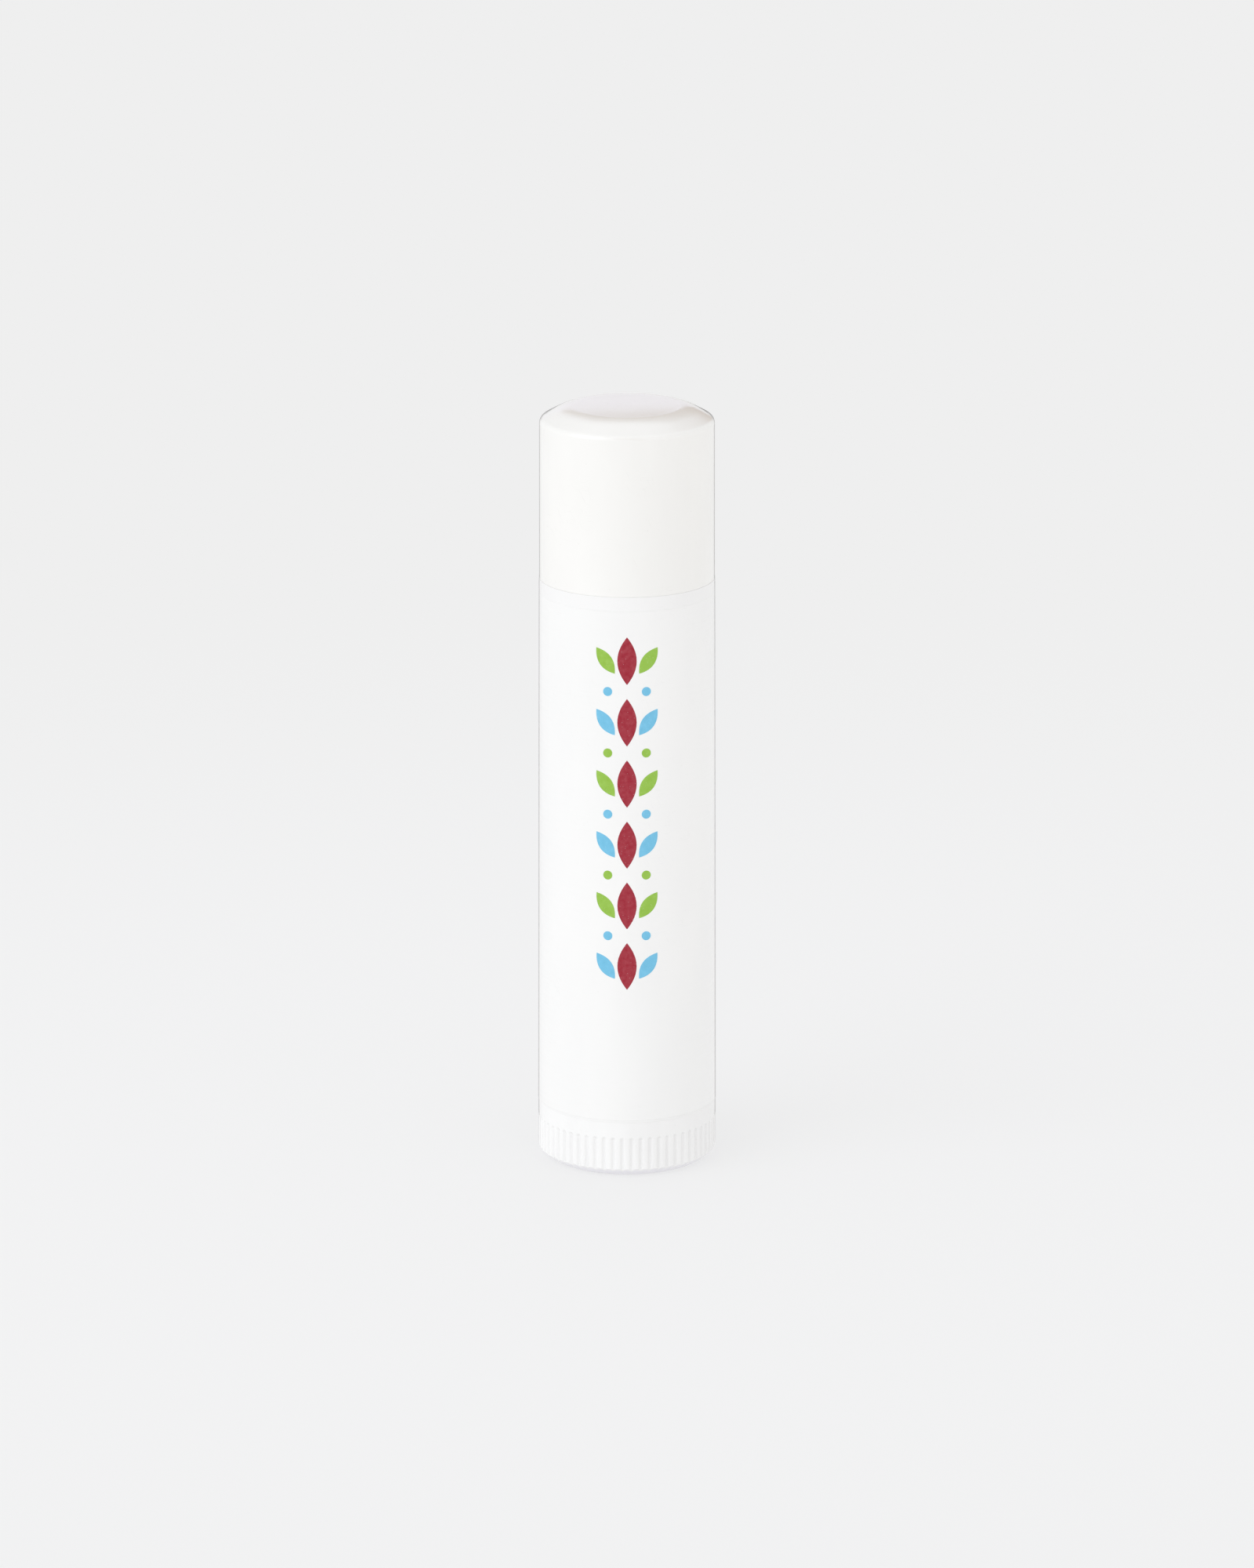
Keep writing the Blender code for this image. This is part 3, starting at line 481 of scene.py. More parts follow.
def combined(shape, tool, operation):
    """Joins or cuts one solid with another and returns the result."""
    for solid in (shape, tool):
        bmesh.ops.recalc_face_normals(solid, faces=solid.faces[:])
    base = new_object("base", shape)
    other = new_object("tool", tool)
    step = base.modifiers.new("combine", "BOOLEAN")
    step.operation = operation
    step.solver = "EXACT"
    step.object = other
    result = bmesh.new()
    result.from_object(base, bpy.context.evaluated_depsgraph_get())
    for thing in (base, other):
        bpy.data.meshes.remove(thing.data)
    return result


def mark_edges(shape):
    """Stores at each point how sharply the surface bends outwards there, for the wear and the painted
    highlight on edges.
    """
    layer = shape.verts.layers.float.new("edge")
    for vert in shape.verts:
        bends = [edge.calc_face_angle_signed(0.0) for edge in vert.link_edges if edge.is_manifold]
        vert[layer] = min(1.0, max([0.0] + bends) / EDGE_WEAR_AND_HIGHLIGHT_BEND)


def add_piece(name, shape, material, body, slot, *nodes):
    """Makes a smooth piece, puts it on its body and hides the frame's nodes that it stands for."""
    bmesh.ops.recalc_face_normals(shape, faces=shape.faces[:])
    mark_edges(shape)
    piece = new_object(name, shape)
    piece.data.shade_smooth()
    piece.data.set_sharp_from_angle(angle=SMOOTH_ANGLE)
    piece.data.materials.append(material)
    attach(piece, body)
    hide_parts(*nodes)


def feed(tree, value, socket):
    """Links a value to a socket, or sets the socket where the value is plain."""
    if isinstance(value, bpy.types.NodeSocket):
        tree.links.new(value, socket)
    else:
        socket.default_value = value


def maths(tree, operation, first, second, clamp=False):
    """The output of a Math node on links or numbers."""
    node = tree.nodes.new("ShaderNodeMath")
    node.operation = operation
    node.use_clamp = clamp
    feed(tree, first, node.inputs[0])
    feed(tree, second, node.inputs[1])
    return node.outputs[0]


def times(tree, first, second):
    """The product of two links or numbers."""
    return maths(tree, "MULTIPLY", first, second)


def remapped(tree, value, low, high, new_low, new_high, kind="LINEAR"):
    """A value carried from one range to another, held at the new range's ends."""
    node = tree.nodes.new("ShaderNodeMapRange")
    node.interpolation_type = kind
    tree.links.new(value, node.inputs["Value"])
    for name, number in (("From Min", low), ("From Max", high), ("To Min", new_low), ("To Max", new_high)):
        node.inputs[name].default_value = number
    return node.outputs["Result"]


def eased(tree, value, low, high, first=0.0, last=1.0):
    """A soft step from a first number to a last one between two values."""
    return remapped(tree, value, low, high, first, last, "SMOOTHSTEP")


def varied(tree, value, low, high, roughness, smoother, rougher):
    """A roughness that wanders with a value, by a little less and a little more."""
    return remapped(tree, value, low, high, roughness - smoother, roughness + rougher)


def blended(tree, mask, first, second):
    """Two colours mixed by a mask. A colour is a link or three numbers."""
    node = tree.nodes.new("ShaderNodeMix")
    node.data_type = "RGBA"
    tree.links.new(mask, node.inputs["Factor"])
    for name, value in (("A", first), ("B", second)):
        socket = next(item for item in node.inputs if item.name == name and item.type == "RGBA")
        feed(tree, value if isinstance(value, bpy.types.NodeSocket) else (*value, 1.0), socket)
    return next(item for item in node.outputs if item.type == "RGBA")


def noise(tree, coordinates, scale, detail=2.0, roughness=0.5, stretch=(1.0, 1.0, 1.0)):
    """Noise on coordinates that are stretched first. The scale is in cells a metre."""
    mapping = tree.nodes.new("ShaderNodeMapping")
    mapping.inputs["Scale"].default_value = stretch
    tree.links.new(coordinates, mapping.inputs["Vector"])
    node = tree.nodes.new("ShaderNodeTexNoise")
    tree.links.new(mapping.outputs["Vector"], node.inputs["Vector"])
    feed(tree, scale, node.inputs["Scale"])
    node.inputs["Detail"].default_value = detail
    node.inputs["Roughness"].default_value = roughness
    return node.outputs["Fac"]


def cells(tree, coordinates, scale):
    """The distance to the nearest of many scattered points. The scale is in cells a metre."""
    node = tree.nodes.new("ShaderNodeTexVoronoi")
    node.inputs["Scale"].default_value = scale
    tree.links.new(coordinates, node.inputs["Vector"])
    return node.outputs["Distance"]


def new_group(name, numbers, outputs):
    """An empty shader node group: coordinates and named numbers in, named numbers out."""
    group = bpy.data.node_groups.new(name, "ShaderNodeTree")
    group.interface.new_socket("Vector", in_out="INPUT", socket_type="NodeSocketVector")
    for label, value in numbers:
        group.interface.new_socket(label, in_out="INPUT", socket_type="NodeSocketFloat").default_value = value
    for label in outputs:
        group.interface.new_socket(label, in_out="OUTPUT", socket_type="NodeSocketFloat")
    return group, group.nodes.new("NodeGroupInput"), group.nodes.new("NodeGroupOutput")


def moulded_skin():
    """Group: what the mould leaves on plastic, as clouding, gloss wander and a fine grain."""
    name = "Moulded skin"
    if name in bpy.data.node_groups:
        return bpy.data.node_groups[name]
    numbers = (("Cloud Scale", 160.0), ("Grain Scale", 5000.0))
    group, entry, out = new_group(name, numbers, ("Cloud", "Gloss Wander", "Grain"))
    place = entry.outputs["Vector"]
    cloud_scale = entry.outputs["Cloud Scale"]
    cloud = noise(group, place, cloud_scale, detail=3.0, roughness=0.55, stretch=(1.0, 1.0, 0.35))
    group.links.new(eased(group, cloud, low=0.3, high=0.7), out.inputs["Cloud"])
    wander = noise(group, place, times(group, cloud_scale, 4.0), detail=4.0, roughness=0.6)
    group.links.new(wander, out.inputs["Gloss Wander"])
    grain = noise(group, place, entry.outputs["Grain Scale"])
    group.links.new(grain, out.inputs["Grain"])
    return group


def handling_marks():
    """Group: what handling leaves, as hairline scuffs and a little dust."""
    name = "Handling marks"
    if name in bpy.data.node_groups:
        return bpy.data.node_groups[name]
    group, entry, out = new_group(name, (("Scuffing", 0.5), ("Dust", 0.5)), ("Scuffs", "Dust"))
    place = entry.outputs["Vector"]
    tilted = group.nodes.new("ShaderNodeVectorRotate")
    tilted.rotation_type = "EULER_XYZ"
    tilted.inputs["Rotation"].default_value = (0.5, 0.35, 0.2)
    group.links.new(place, tilted.inputs["Vector"])
    lines = []
    for vector, stretch in ((place, (1.0, 1.0, 14.0)), (tilted.outputs["Vector"], (16.0, 1.0, 1.0))):
        streaks = noise(group, vector, scale=900.0, detail=1.0, roughness=0.4, stretch=stretch)
        lines.append(eased(group, streaks, low=0.66, high=0.74))
    patches = eased(group, noise(group, place, scale=220.0), low=0.5, high=0.66)
    scuffs = times(group, maths(group, "MAXIMUM", lines[0], lines[1]), patches)
    group.links.new(times(group, scuffs, entry.outputs["Scuffing"]), out.inputs["Scuffs"])
    specks = eased(group, cells(group, place, scale=1300.0), low=0.05, high=0.1, first=1.0, last=0.0)
    chosen = maths(group, "GREATER_THAN", noise(group, place, scale=480.0, detail=0.0), 0.66)
    dust = times(group, times(group, specks, chosen), entry.outputs["Dust"])
    group.links.new(dust, out.inputs["Dust"])
    return group


def use_group(tree, group, place, **numbers):
    """Places a group in a material, with its coordinates linked and its numbers set."""
    node = tree.nodes.new("ShaderNodeGroup")
    node.node_tree = group
    tree.links.new(place, node.inputs["Vector"])
    for name, value in numbers.items():
        node.inputs[name.replace("_", " ")].default_value = value
    return node


def new_material(name):
    """A material's tree, its shader and the object's own coordinates."""
    material = bpy.data.materials.new(name)
    material.use_nodes = True
    tree = material.node_tree
    place = tree.nodes.new("ShaderNodeTexCoord").outputs["Object"]
    return material, tree, tree.nodes["Principled BSDF"], place


def stored(tree, name):
    """A number that the mesh stores at its points."""
    node = tree.nodes.new("ShaderNodeAttribute")
    node.attribute_type = "GEOMETRY"
    node.attribute_name = name
    return node.outputs["Fac"]


def mix_shaders(tree, mask, first, second, output):
    """Mixes two shaders by a mask for the surface of a material or of the world."""
    mix = tree.nodes.new("ShaderNodeMixShader")
    tree.links.new(mask, mix.inputs["Fac"])
    tree.links.new(first.outputs[0], mix.inputs[1])
    tree.links.new(second.outputs[0], mix.inputs[2])
    tree.links.new(mix.outputs["Shader"], tree.nodes[output].inputs["Surface"])


def roughened(tree, shader, relief, distance, strength=0.5):
    """Links a relief to the shader's normal through a Bump node."""
    node = tree.nodes.new("ShaderNodeBump")
    node.inputs["Distance"].default_value = distance
    node.inputs["Strength"].default_value = strength
    tree.links.new(relief, node.inputs["Height"])
    tree.links.new(node.outputs["Normal"], shader.inputs["Normal"])


def marked(tree, tint, marks, scuff, scuff_tone, dust):
    """A tint with shares of the scuffs and of the dust laid over it."""
    tint = blended(tree, times(tree, marks.outputs["Scuffs"], scuff), tint, scuff_tone)
    return blended(tree, times(tree, marks.outputs["Dust"], dust), tint, DUST_GREY)


def white_plastic(name, base, shade, finish, cloud_scale, scuffing, painted_hollow_shade=None):
    """Satin white moulded plastic: clouded and scuffed, lighter on its edges by wear and a painted highlight,
    and, where a painted hollow shade is given, with painted shade in its hollows.
    """
    material, tree, shader, place = new_material(name)
    skin = use_group(tree, moulded_skin(), place, Cloud_Scale=cloud_scale)
    marks = use_group(tree, handling_marks(), place, Scuffing=scuffing)
    tint = blended(tree, skin.outputs["Cloud"], base, shade)
    # Painted shade: the colour goes towards a grey where the mesh stores hollow values, in place of shade in
    # grooves and under slopes
    if painted_hollow_shade:
        tint = blended(tree, stored(tree, "hollow"), tint, painted_hollow_shade)
    # Convex edges: smoother by wear, and lighter by a painted highlight
    edge_wear_and_highlight = times(tree, stored(tree, "edge"), skin.outputs["Gloss Wander"])
    tint = blended(tree, times(tree, edge_wear_and_highlight, 0.12), tint, WORN_HIGHLIGHT_WHITE)
    tint = marked(tree, tint, marks, scuff=0.18, scuff_tone=SCUFFED_PLASTIC, dust=0.25)
    tree.links.new(tint, shader.inputs["Base Color"])
    gloss = varied(
        tree, skin.outputs["Gloss Wander"], 0.2, 0.8, finish.plastic_roughness, smoother=0.04, rougher=0.05)
    gloss = maths(tree, "ADD", gloss, times(tree, marks.outputs["Scuffs"], 0.15))
    gloss = maths(tree, "SUBTRACT", gloss, times(tree, edge_wear_and_highlight, 0.06), clamp=True)
    tree.links.new(gloss, shader.inputs["Roughness"])
    shader.inputs["Coat Weight"].default_value = finish.plastic_skin
    shader.inputs["Coat Roughness"].default_value = SKIN_ROUGHNESS
    relief = maths(tree, "SUBTRACT", skin.outputs["Grain"], times(tree, marks.outputs["Scuffs"], 2.0))
    roughened(tree, shader, relief, distance=0.002 * MM)
    return material


def printed_film(name, base, shade, roughness):
    """White polymer film with faint lines along its winding, under a clear varnish."""
    material, tree, shader, place = new_material(name)
    skin = use_group(tree, moulded_skin(), place, Cloud_Scale=120.0, Grain_Scale=3500.0)
    marks = use_group(tree, handling_marks(), place, Scuffing=0.6)
    lines = noise(tree, place, scale=300.0, detail=3.0, stretch=(1.0, 1.0, 12.0))
    tint = blended(tree, skin.outputs["Cloud"], base, shade)
    tint = blended(tree, times(tree, lines, 0.1), tint, shade)
    tint = marked(tree, tint, marks, scuff=0.15, scuff_tone=SCUFFED_FILM, dust=0.2)
    tree.links.new(tint, shader.inputs["Base Color"])
    gloss = varied(tree, skin.outputs["Gloss Wander"], 0.2, 0.8, roughness, smoother=0.03, rougher=0.04)
    gloss = maths(tree, "ADD", gloss, times(tree, marks.outputs["Scuffs"], 0.12))
    tree.links.new(gloss, shader.inputs["Roughness"])
    tree.links.new(remapped(tree, lines, 0.3, 0.7, 0.75, 0.85), shader.inputs["Coat Weight"])
    shader.inputs["Coat Roughness"].default_value = SKIN_ROUGHNESS
    relief = maths(tree, "ADD", skin.outputs["Grain"], lines)
    roughened(tree, shader, relief, distance=0.0015 * MM)
    return material


def ink(name, base, roughness):
    """Printed ink: its density wanders a little, with pinholes that show the white film."""
    material, tree, shader, place = new_material(name)
    density = noise(tree, place, scale=2600.0, detail=3.0, roughness=0.6)
    thin = tuple(value + (FILM_WHITE - value) * THIN_INK for value in base)
    thick = tuple(value * THICK_INK for value in base)
    tint = blended(tree, remapped(tree, density, 0.35, 0.65, 0.0, 1.0), thin, thick)
    holes = remapped(tree, cells(tree, place, scale=3600.0), 0.06, 0.12, 0.3, 0.0)
    tree.links.new(blended(tree, holes, tint, BARE_FILM), shader.inputs["Base Color"])
    gloss = varied(tree, density, 0.3, 0.7, roughness, smoother=0.04, rougher=0.06)
    tree.links.new(gloss, shader.inputs["Roughness"])
    shader.inputs["Specular IOR Level"].default_value = 0.25
    roughened(tree, shader, density, distance=0.002 * MM)
    return material


def cast_balm(name, base, bloom, roughness):
    """Wax balm: marbled, softly translucent, with a pale bloom and small cooling pits."""
    material, tree, shader, place = new_material(name)
    swirl = noise(tree, place, scale=260.0, detail=5.0, roughness=0.62, stretch=(1.0, 1.0, 0.5))
    frost = noise(tree, place, scale=1900.0, detail=4.0, roughness=0.7)
    patches = eased(tree, noise(tree, place, scale=340.0), low=0.45, high=0.65)
    tint = blended(tree, eased(tree, swirl, low=0.35, high=0.7, last=0.6), base, bloom)
    veil = times(tree, times(tree, frost, patches), 0.5)
    tree.links.new(blended(tree, veil, tint, bloom), shader.inputs["Base Color"])
    gloss = varied(tree, veil, 0.0, 0.4, roughness, smoother=0.06, rougher=0.16)
    tree.links.new(gloss, shader.inputs["Roughness"])
    pits = eased(tree, cells(tree, place, scale=800.0), low=0.04, high=0.12)
    relief = maths(tree, "ADD", times(tree, swirl, 0.8), times(tree, pits, 0.4))
    roughened(tree, shader, relief, distance=0.03 * MM, strength=0.7)
    shader.inputs["Subsurface Weight"].default_value = 0.25
    shader.inputs["Subsurface Radius"].default_value = (1.0, 0.7, 0.4)
    shader.inputs["Subsurface Scale"].default_value = 0.8 * MM
    return material


class BALM_OT_cap(bpy.types.Operator):
    """Make the push-on cap with its sloping top border, inner bead and moulding gate"""
    bl_idname = "balm.cap"
    bl_label = "Make cap"

    def execute(self, context):
        cap = context.scene.balm_cap
        finish = context.scene.balm_finish
        top_radius = cap.rim_radius - cap.draft
        inner_rim = cap.rim_radius - cap.wall
        inner_top = top_radius - cap.wall
        ceiling = cap.top_height - cap.top_thickness
        gate_foot = ceiling - cap.gate_proud
        slope = math.atan2(cap.slope_height, cap.slope_width)
        steep = QUARTER_TURN - slope
        flat_end = top_radius - cap.slope_width - cap.top_round * math.tan(slope / 2.0)
        flat_height = cap.top_height - cap.crown
        side_top = flat_height - cap.slope_height - cap.side_round * math.tan(steep / 2.0)
        inner_foot = ceiling - cap.inner_rise - cap.inner_round * math.tan(steep / 2.0)
        outline = [
            (flat_end * along, cap.top_height - cap.crown * along ** 2)
            for along in spaced(0.0, 1.0, CURVE_STEPS)]
        outline += rounding(flat_end, flat_height - cap.top_round, cap.top_round, QUARTER_TURN, steep)
        outline += rounding(top_radius - cap.side_round, side_top, cap.side_round, steep, 0.0)
        outline += rounding(
            cap.rim_radius - cap.rim_edge, cap.rim_height + cap.rim_edge, cap.rim_edge, 0.0, -QUARTER_TURN,
            CURVE_STEPS // 2)
        outline += [(inner_rim + cap.lead_in, cap.rim_height), (inner_rim, cap.rim_height + cap.lead_in)]
        outline += bump(inner_rim, cap.rim_height + cap.bead_height, cap.bead_half_width, -cap.bead_proud)
        outline += rounding(inner_top - cap.inner_round, inner_foot, cap.inner_round, 0.0, steep)
        outline += [
            (inner_top - cap.inner_rise / math.tan(slope), ceiling),
            (cap.gate_radius + cap.gate_proud / 2.0, ceiling),
            (cap.gate_radius, gate_foot),
            (0.0, gate_foot),
        ]
        plastic = white_plastic(
            "cap_white", finish.cap_colour, finish.cap_shade, finish, cloud_scale=160.0, scuffing=0.7)
        add_piece("moulded_cap", turned(held(outline)), plastic, "cap", "cap_plastic", "cap")
        return {"FINISHED"}


def barrel_radius(barrel, height):
    """Outer radius of the barrel at a height over its foot."""
    return barrel.foot_radius - barrel.draft * height / barrel.body_length


class BALM_OT_barrel(bpy.types.Operator):
    """Make the barrel with its film panel, shoulder, neck, bore ribs and inner floor"""
    bl_idname = "balm.barrel"
    bl_label = "Make barrel"

    def execute(self, context):
        barrel = context.scene.balm_barrel
        finish = context.scene.balm_finish
        foot = barrel.foot_height
        shoulder = foot + barrel.body_length
        bore = barrel.neck_radius - barrel.neck_wall
        hollow = barrel.foot_radius - barrel.foot_wall
        underside = foot + barrel.floor_underside
        floor_top = underside + barrel.floor_thickness
        edge = barrel.edge
        outline = [(hollow, foot)]
        outline += rounding(barrel.foot_radius - edge, foot + edge, edge, -QUARTER_TURN, 0.0)
        for height, depth in (
                (barrel.panel_foot, 0.0), (barrel.panel_foot, barrel.panel_depth),
                (barrel.panel_top, barrel.panel_depth), (barrel.panel_top, 0.0)):
            outline.append((barrel_radius(barrel, height) - depth, foot + height))
        outline += rounding(
            barrel.foot_radius - barrel.draft - edge, shoulder - edge, edge, 0.0, QUARTER_TURN)
        outline.append((barrel.neck_radius, shoulder))
        outline += bump(
            barrel.neck_radius, shoulder + barrel.bead_height, barrel.bead_half_width, barrel.bead_proud)
        outline += [
            (barrel.neck_radius, barrel.neck_top - barrel.mouth_chamfer),
            (barrel.neck_radius - barrel.mouth_chamfer, barrel.neck_top),
            (bore + barrel.bore_chamfer, barrel.neck_top),
            (bore, barrel.neck_top - barrel.bore_chamfer),
            (bore, floor_top),
            (barrel.floor_hole, floor_top),
            (barrel.floor_hole, underside),
            (hollow, underside),
        ]
        ribs = blocks(
            barrel.rib_count, 0.0, bore - barrel.rib_depth, bore + barrel.neck_wall / 2.0, barrel.rib_width,
            floor_top - barrel.floor_thickness / 2.0, barrel.neck_top - barrel.rib_top_margin)
        shape = combined(turned(held(outline, looped=True), looped=True), ribs, "UNION")
        plastic = white_plastic(
            "barrel_white", finish.barrel_colour, finish.barrel_shade, finish, cloud_scale=140.0,
            scuffing=0.5)
        add_piece("moulded_barrel", shape, plastic, "tube", "barrel_plastic", "barrel")
        return {"FINISHED"}


def film_radius(barrel, height):
    """Outer radius of the film at a height over the ground."""
    return barrel_radius(barrel, height - barrel.foot_height)


def leaf(across, along):
    """Points of a leaf with a tip at each end, of a half width and a half length."""
    turns = spaced(0.0, FULL_TURN, MOTIF_STEPS)
    return [(across * math.sin(turn) * abs(math.sin(turn)), along * math.cos(turn)) for turn in turns]


def berry(radius):
    """Points of a round berry."""
    turns = spaced(0.0, FULL_TURN, MOTIF_STEPS)
    return [(radius * math.sin(turn), radius * math.cos(turn)) for turn in turns]


def add_motif(shape, barrel, film, points, across, height, tilt=0.0):
    """Lays a motif on the film as a thin closed layer of ink, bent to the tube."""
    lean = Matrix.Rotation(-tilt, 2)
    rings = []
    for size, lift in INK_RINGS:
        ring = []
        for point in points[:1] if size == 0.0 else points:
            spot = lean @ Vector(point) * size
            place = height + spot.y
            radius = film_radius(barrel, place)
            turn = FRONT + (across + spot.x) / radius
            ring.append(shape.verts.new(round_axis(radius + film.ink_thickness * lift, turn, place)))
        rings.append(ring)
    join_all(shape, rings)


def join_rings(shape, first, second):
    """Faces between two loops of points. A loop may be one point, or have more points than the other."""
    number = max(1, min(len(first), len(second)))
    if number == 1:
        loop, point = (second, first[0]) if len(first) == 1 else (first, second[0])
        for step in range(len(loop)):
            shape.faces.new((loop[step], loop[(step + 1) % len(loop)], point))
        return
    for step in range(number):
        corners = []
        for loop, order in ((first, 1), (second, -1)):
            jump = len(loop) // number
            steps = [loop[(step * jump + turn) % len(loop)] for turn in range(jump + 1)]
            corners += steps[::order]
        shape.faces.new(corners)


def join_all(shape, rings):
    """Faces between each loop of points and the next. Returns the first loop and the last."""
    for lower, upper in zip(rings, rings[1:]):
        join_rings(shape, lower, upper)
    return rings[0], rings[-1]


class BALM_OT_film(bpy.types.Operator):
    """Wrap the printed film round the barrel and lay its inks"""
    bl_idname = "balm.film"
    bl_label = "Wrap film"

    def execute(self, context):
        barrel = context.scene.balm_barrel
        film = context.scene.balm_film
        finish = context.scene.balm_finish
        foot, top = film.foot_height, film.top_height
        outer_foot, outer_top = film_radius(barrel, foot), film_radius(barrel, top)
        outline = [
            (outer_foot - film.thickness, foot),
            (outer_foot - film.edge, foot),
            (outer_foot, foot + film.edge),
            (outer_top, top - film.edge),
            (outer_top - film.edge, top),
            (outer_top - film.thickness, top),
        ]
        gap = film.butt_gap / barrel.foot_radius
        wrap = turned(
            held(outline, looped=True), looped=True, start=QUARTER_TURN + gap / 2.0, sweep=FULL_TURN - gap)
        white = printed_film("film_white", finish.film_colour, finish.film_shade, finish.film_roughness)
        add_piece("film_wrap", wrap, white, "tube", "label_film", "wrap_label")
        self.print_sprig(barrel, film, finish)
        return {"FINISHED"}

    def print_sprig(self, barrel, film, finish):
        """A plain upright sprig: long red leaves, green and blue side leaves, berries between."""
        red, green, blue = (bmesh.new() for _ in range(3))
        long_leaf = leaf(film.leaf_width / 2.0, film.leaf_length / 2.0)
        side_leaf = leaf(film.side_width / 2.0, film.side_length / 2.0)
        low = film.print_middle - film.module_pitch * (film.module_count - 1) / 2.0
        for number in range(film.module_count):
            height = low + film.module_pitch * number
            add_motif(red, barrel, film, long_leaf, 0.0, height)
            sides, berries = (green, blue) if number % 2 else (blue, green)
            for side in (-1.0, 1.0):
                add_motif(
                    sides, barrel, film, side_leaf, side * film.side_offset, height, side * film.side_tilt)
                if number:
                    round_berry = berry(film.berry_radius)
                    between = height - film.module_pitch / 2.0
                    add_motif(berries, barrel, film, round_berry, side * film.berry_offset, between)
        for name, shape, tint in (
                ("red_print", red, finish.red_ink), ("green_print", green, finish.green_ink),
                ("blue_print", blue, finish.blue_ink)):
            layer = ink(name.replace("print", "ink"), tint, finish.ink_roughness)
            add_piece(name, shape, layer, "tube", "label_film")


def rib_relief(dial, across, height):
    """Depth of the dial's skin under its rib crests, and how far the place lies in a groove.

    The place is given by its distance across from the middle of a rib and its height. The grooves'
    upper ends are round.
    """
    pitch = FULL_TURN * dial.radius / dial.rib_count
    half_groove = dial.groove_width / 2.0
    high_end = dial.height - dial.edge - dial.top_band - half_groove
    inside = pitch / 2.0 - half_groove - abs(across)
    if height > high_end:
        inside = math.hypot(pitch / 2.0 - abs(across), height - high_end) - half_groove
    climb = (inside + half_groove) / (half_groove + dial.groove_lip)
    hollow = math.cos(min(1.0, max(0.0, climb)) * QUARTER_TURN) ** 2
    fade = min(1.0, max(0.0, 1.0 - (height - high_end) / (2.0 * half_groove)))
    crown = dial.crown * fade * (2.0 * across / pitch) ** 2
    return min(dial.groove_depth, crown + dial.groove_depth * hollow), hollow


def dial_skin(shape, dial):
    """The ribbed outside of the dial, as loops of points from its standing ring to its flat top."""
    pitch = FULL_TURN / dial.rib_count
    arc_pitch = pitch * dial.radius
    half_groove = dial.groove_width / 2.0
    standing = dial.radius - dial.slope_width
    high_end = dial.height - dial.edge - dial.top_band - half_groove
    lip_top = high_end + half_groove + dial.groove_lip
    shoulder = dial.height - dial.edge
    heights = [dial.slope_height * along ** SLOPE_BEND for along in spaced(0.0, 1.0, SLOPE_ROWS)]
    heights += spaced(dial.slope_height, high_end - half_groove, GROOVE_ROWS)
    heights += spaced(high_end - half_groove, lip_top, END_ROWS)
    heights += spaced(lip_top, shoulder - HOLD, BAND_ROWS) + [shoulder - HOLD]
    top_end = dial.radius - dial.edge
    top_rows = rounding(top_end, shoulder, dial.edge, 0.0, QUARTER_TURN, CURVE_STEPS // 2)
    rows = [(standing - HOLD, 0.0, False)]
    rows += [(dial.radius, height, True) for height in heights]
    rows += [(*row, False) for row in top_rows] + [(top_end - HOLD, dial.height, False)]
    layer = shape.verts.layers.float["hollow"]
    rings = []
    for radius, height, ribbed in rows:
        ring = []
        along_slope = min(1.0, height / dial.slope_height) ** (1.0 / SLOPE_BEND)
        slope_reach = standing + dial.slope_width * along_slope
        for number in range(dial.rib_count):
            for column in COLUMN_SHARES:
                turn = pitch * (number + column)
                across = (column if column < 0.5 else column - 1.0) * arc_pitch
                depth, hollow = rib_relief(dial, across, height) if ribbed else (0.0, 0.0)
                reach = min(radius - depth, slope_reach)
                # Painted shade: how far the foot slope cuts in, and a little of the groove depth, are stored
                # as hollow values that grey the colour
                under = min(1.0, (radius - depth - reach) / (dial.slope_width * PAINTED_SHADE_SPREAD))
                point = shape.verts.new(round_axis(reach, turn, height))
                point[layer] = max(hollow * dial.groove_painted_shade, under)
                ring.append(point)
        rings.append(ring)
    return join_all(shape, rings)


def plain_rings(shape, outline, number):
    """Loops of evenly turned points, one for each (radius, height) of an outline, joined in turn."""
    turns = spaced(0.0, FULL_TURN, number)
    rings = [
        [shape.verts.new(round_axis(radius, turn, height)) for turn in turns] for radius, height in outline]
    return join_all(shape, rings)


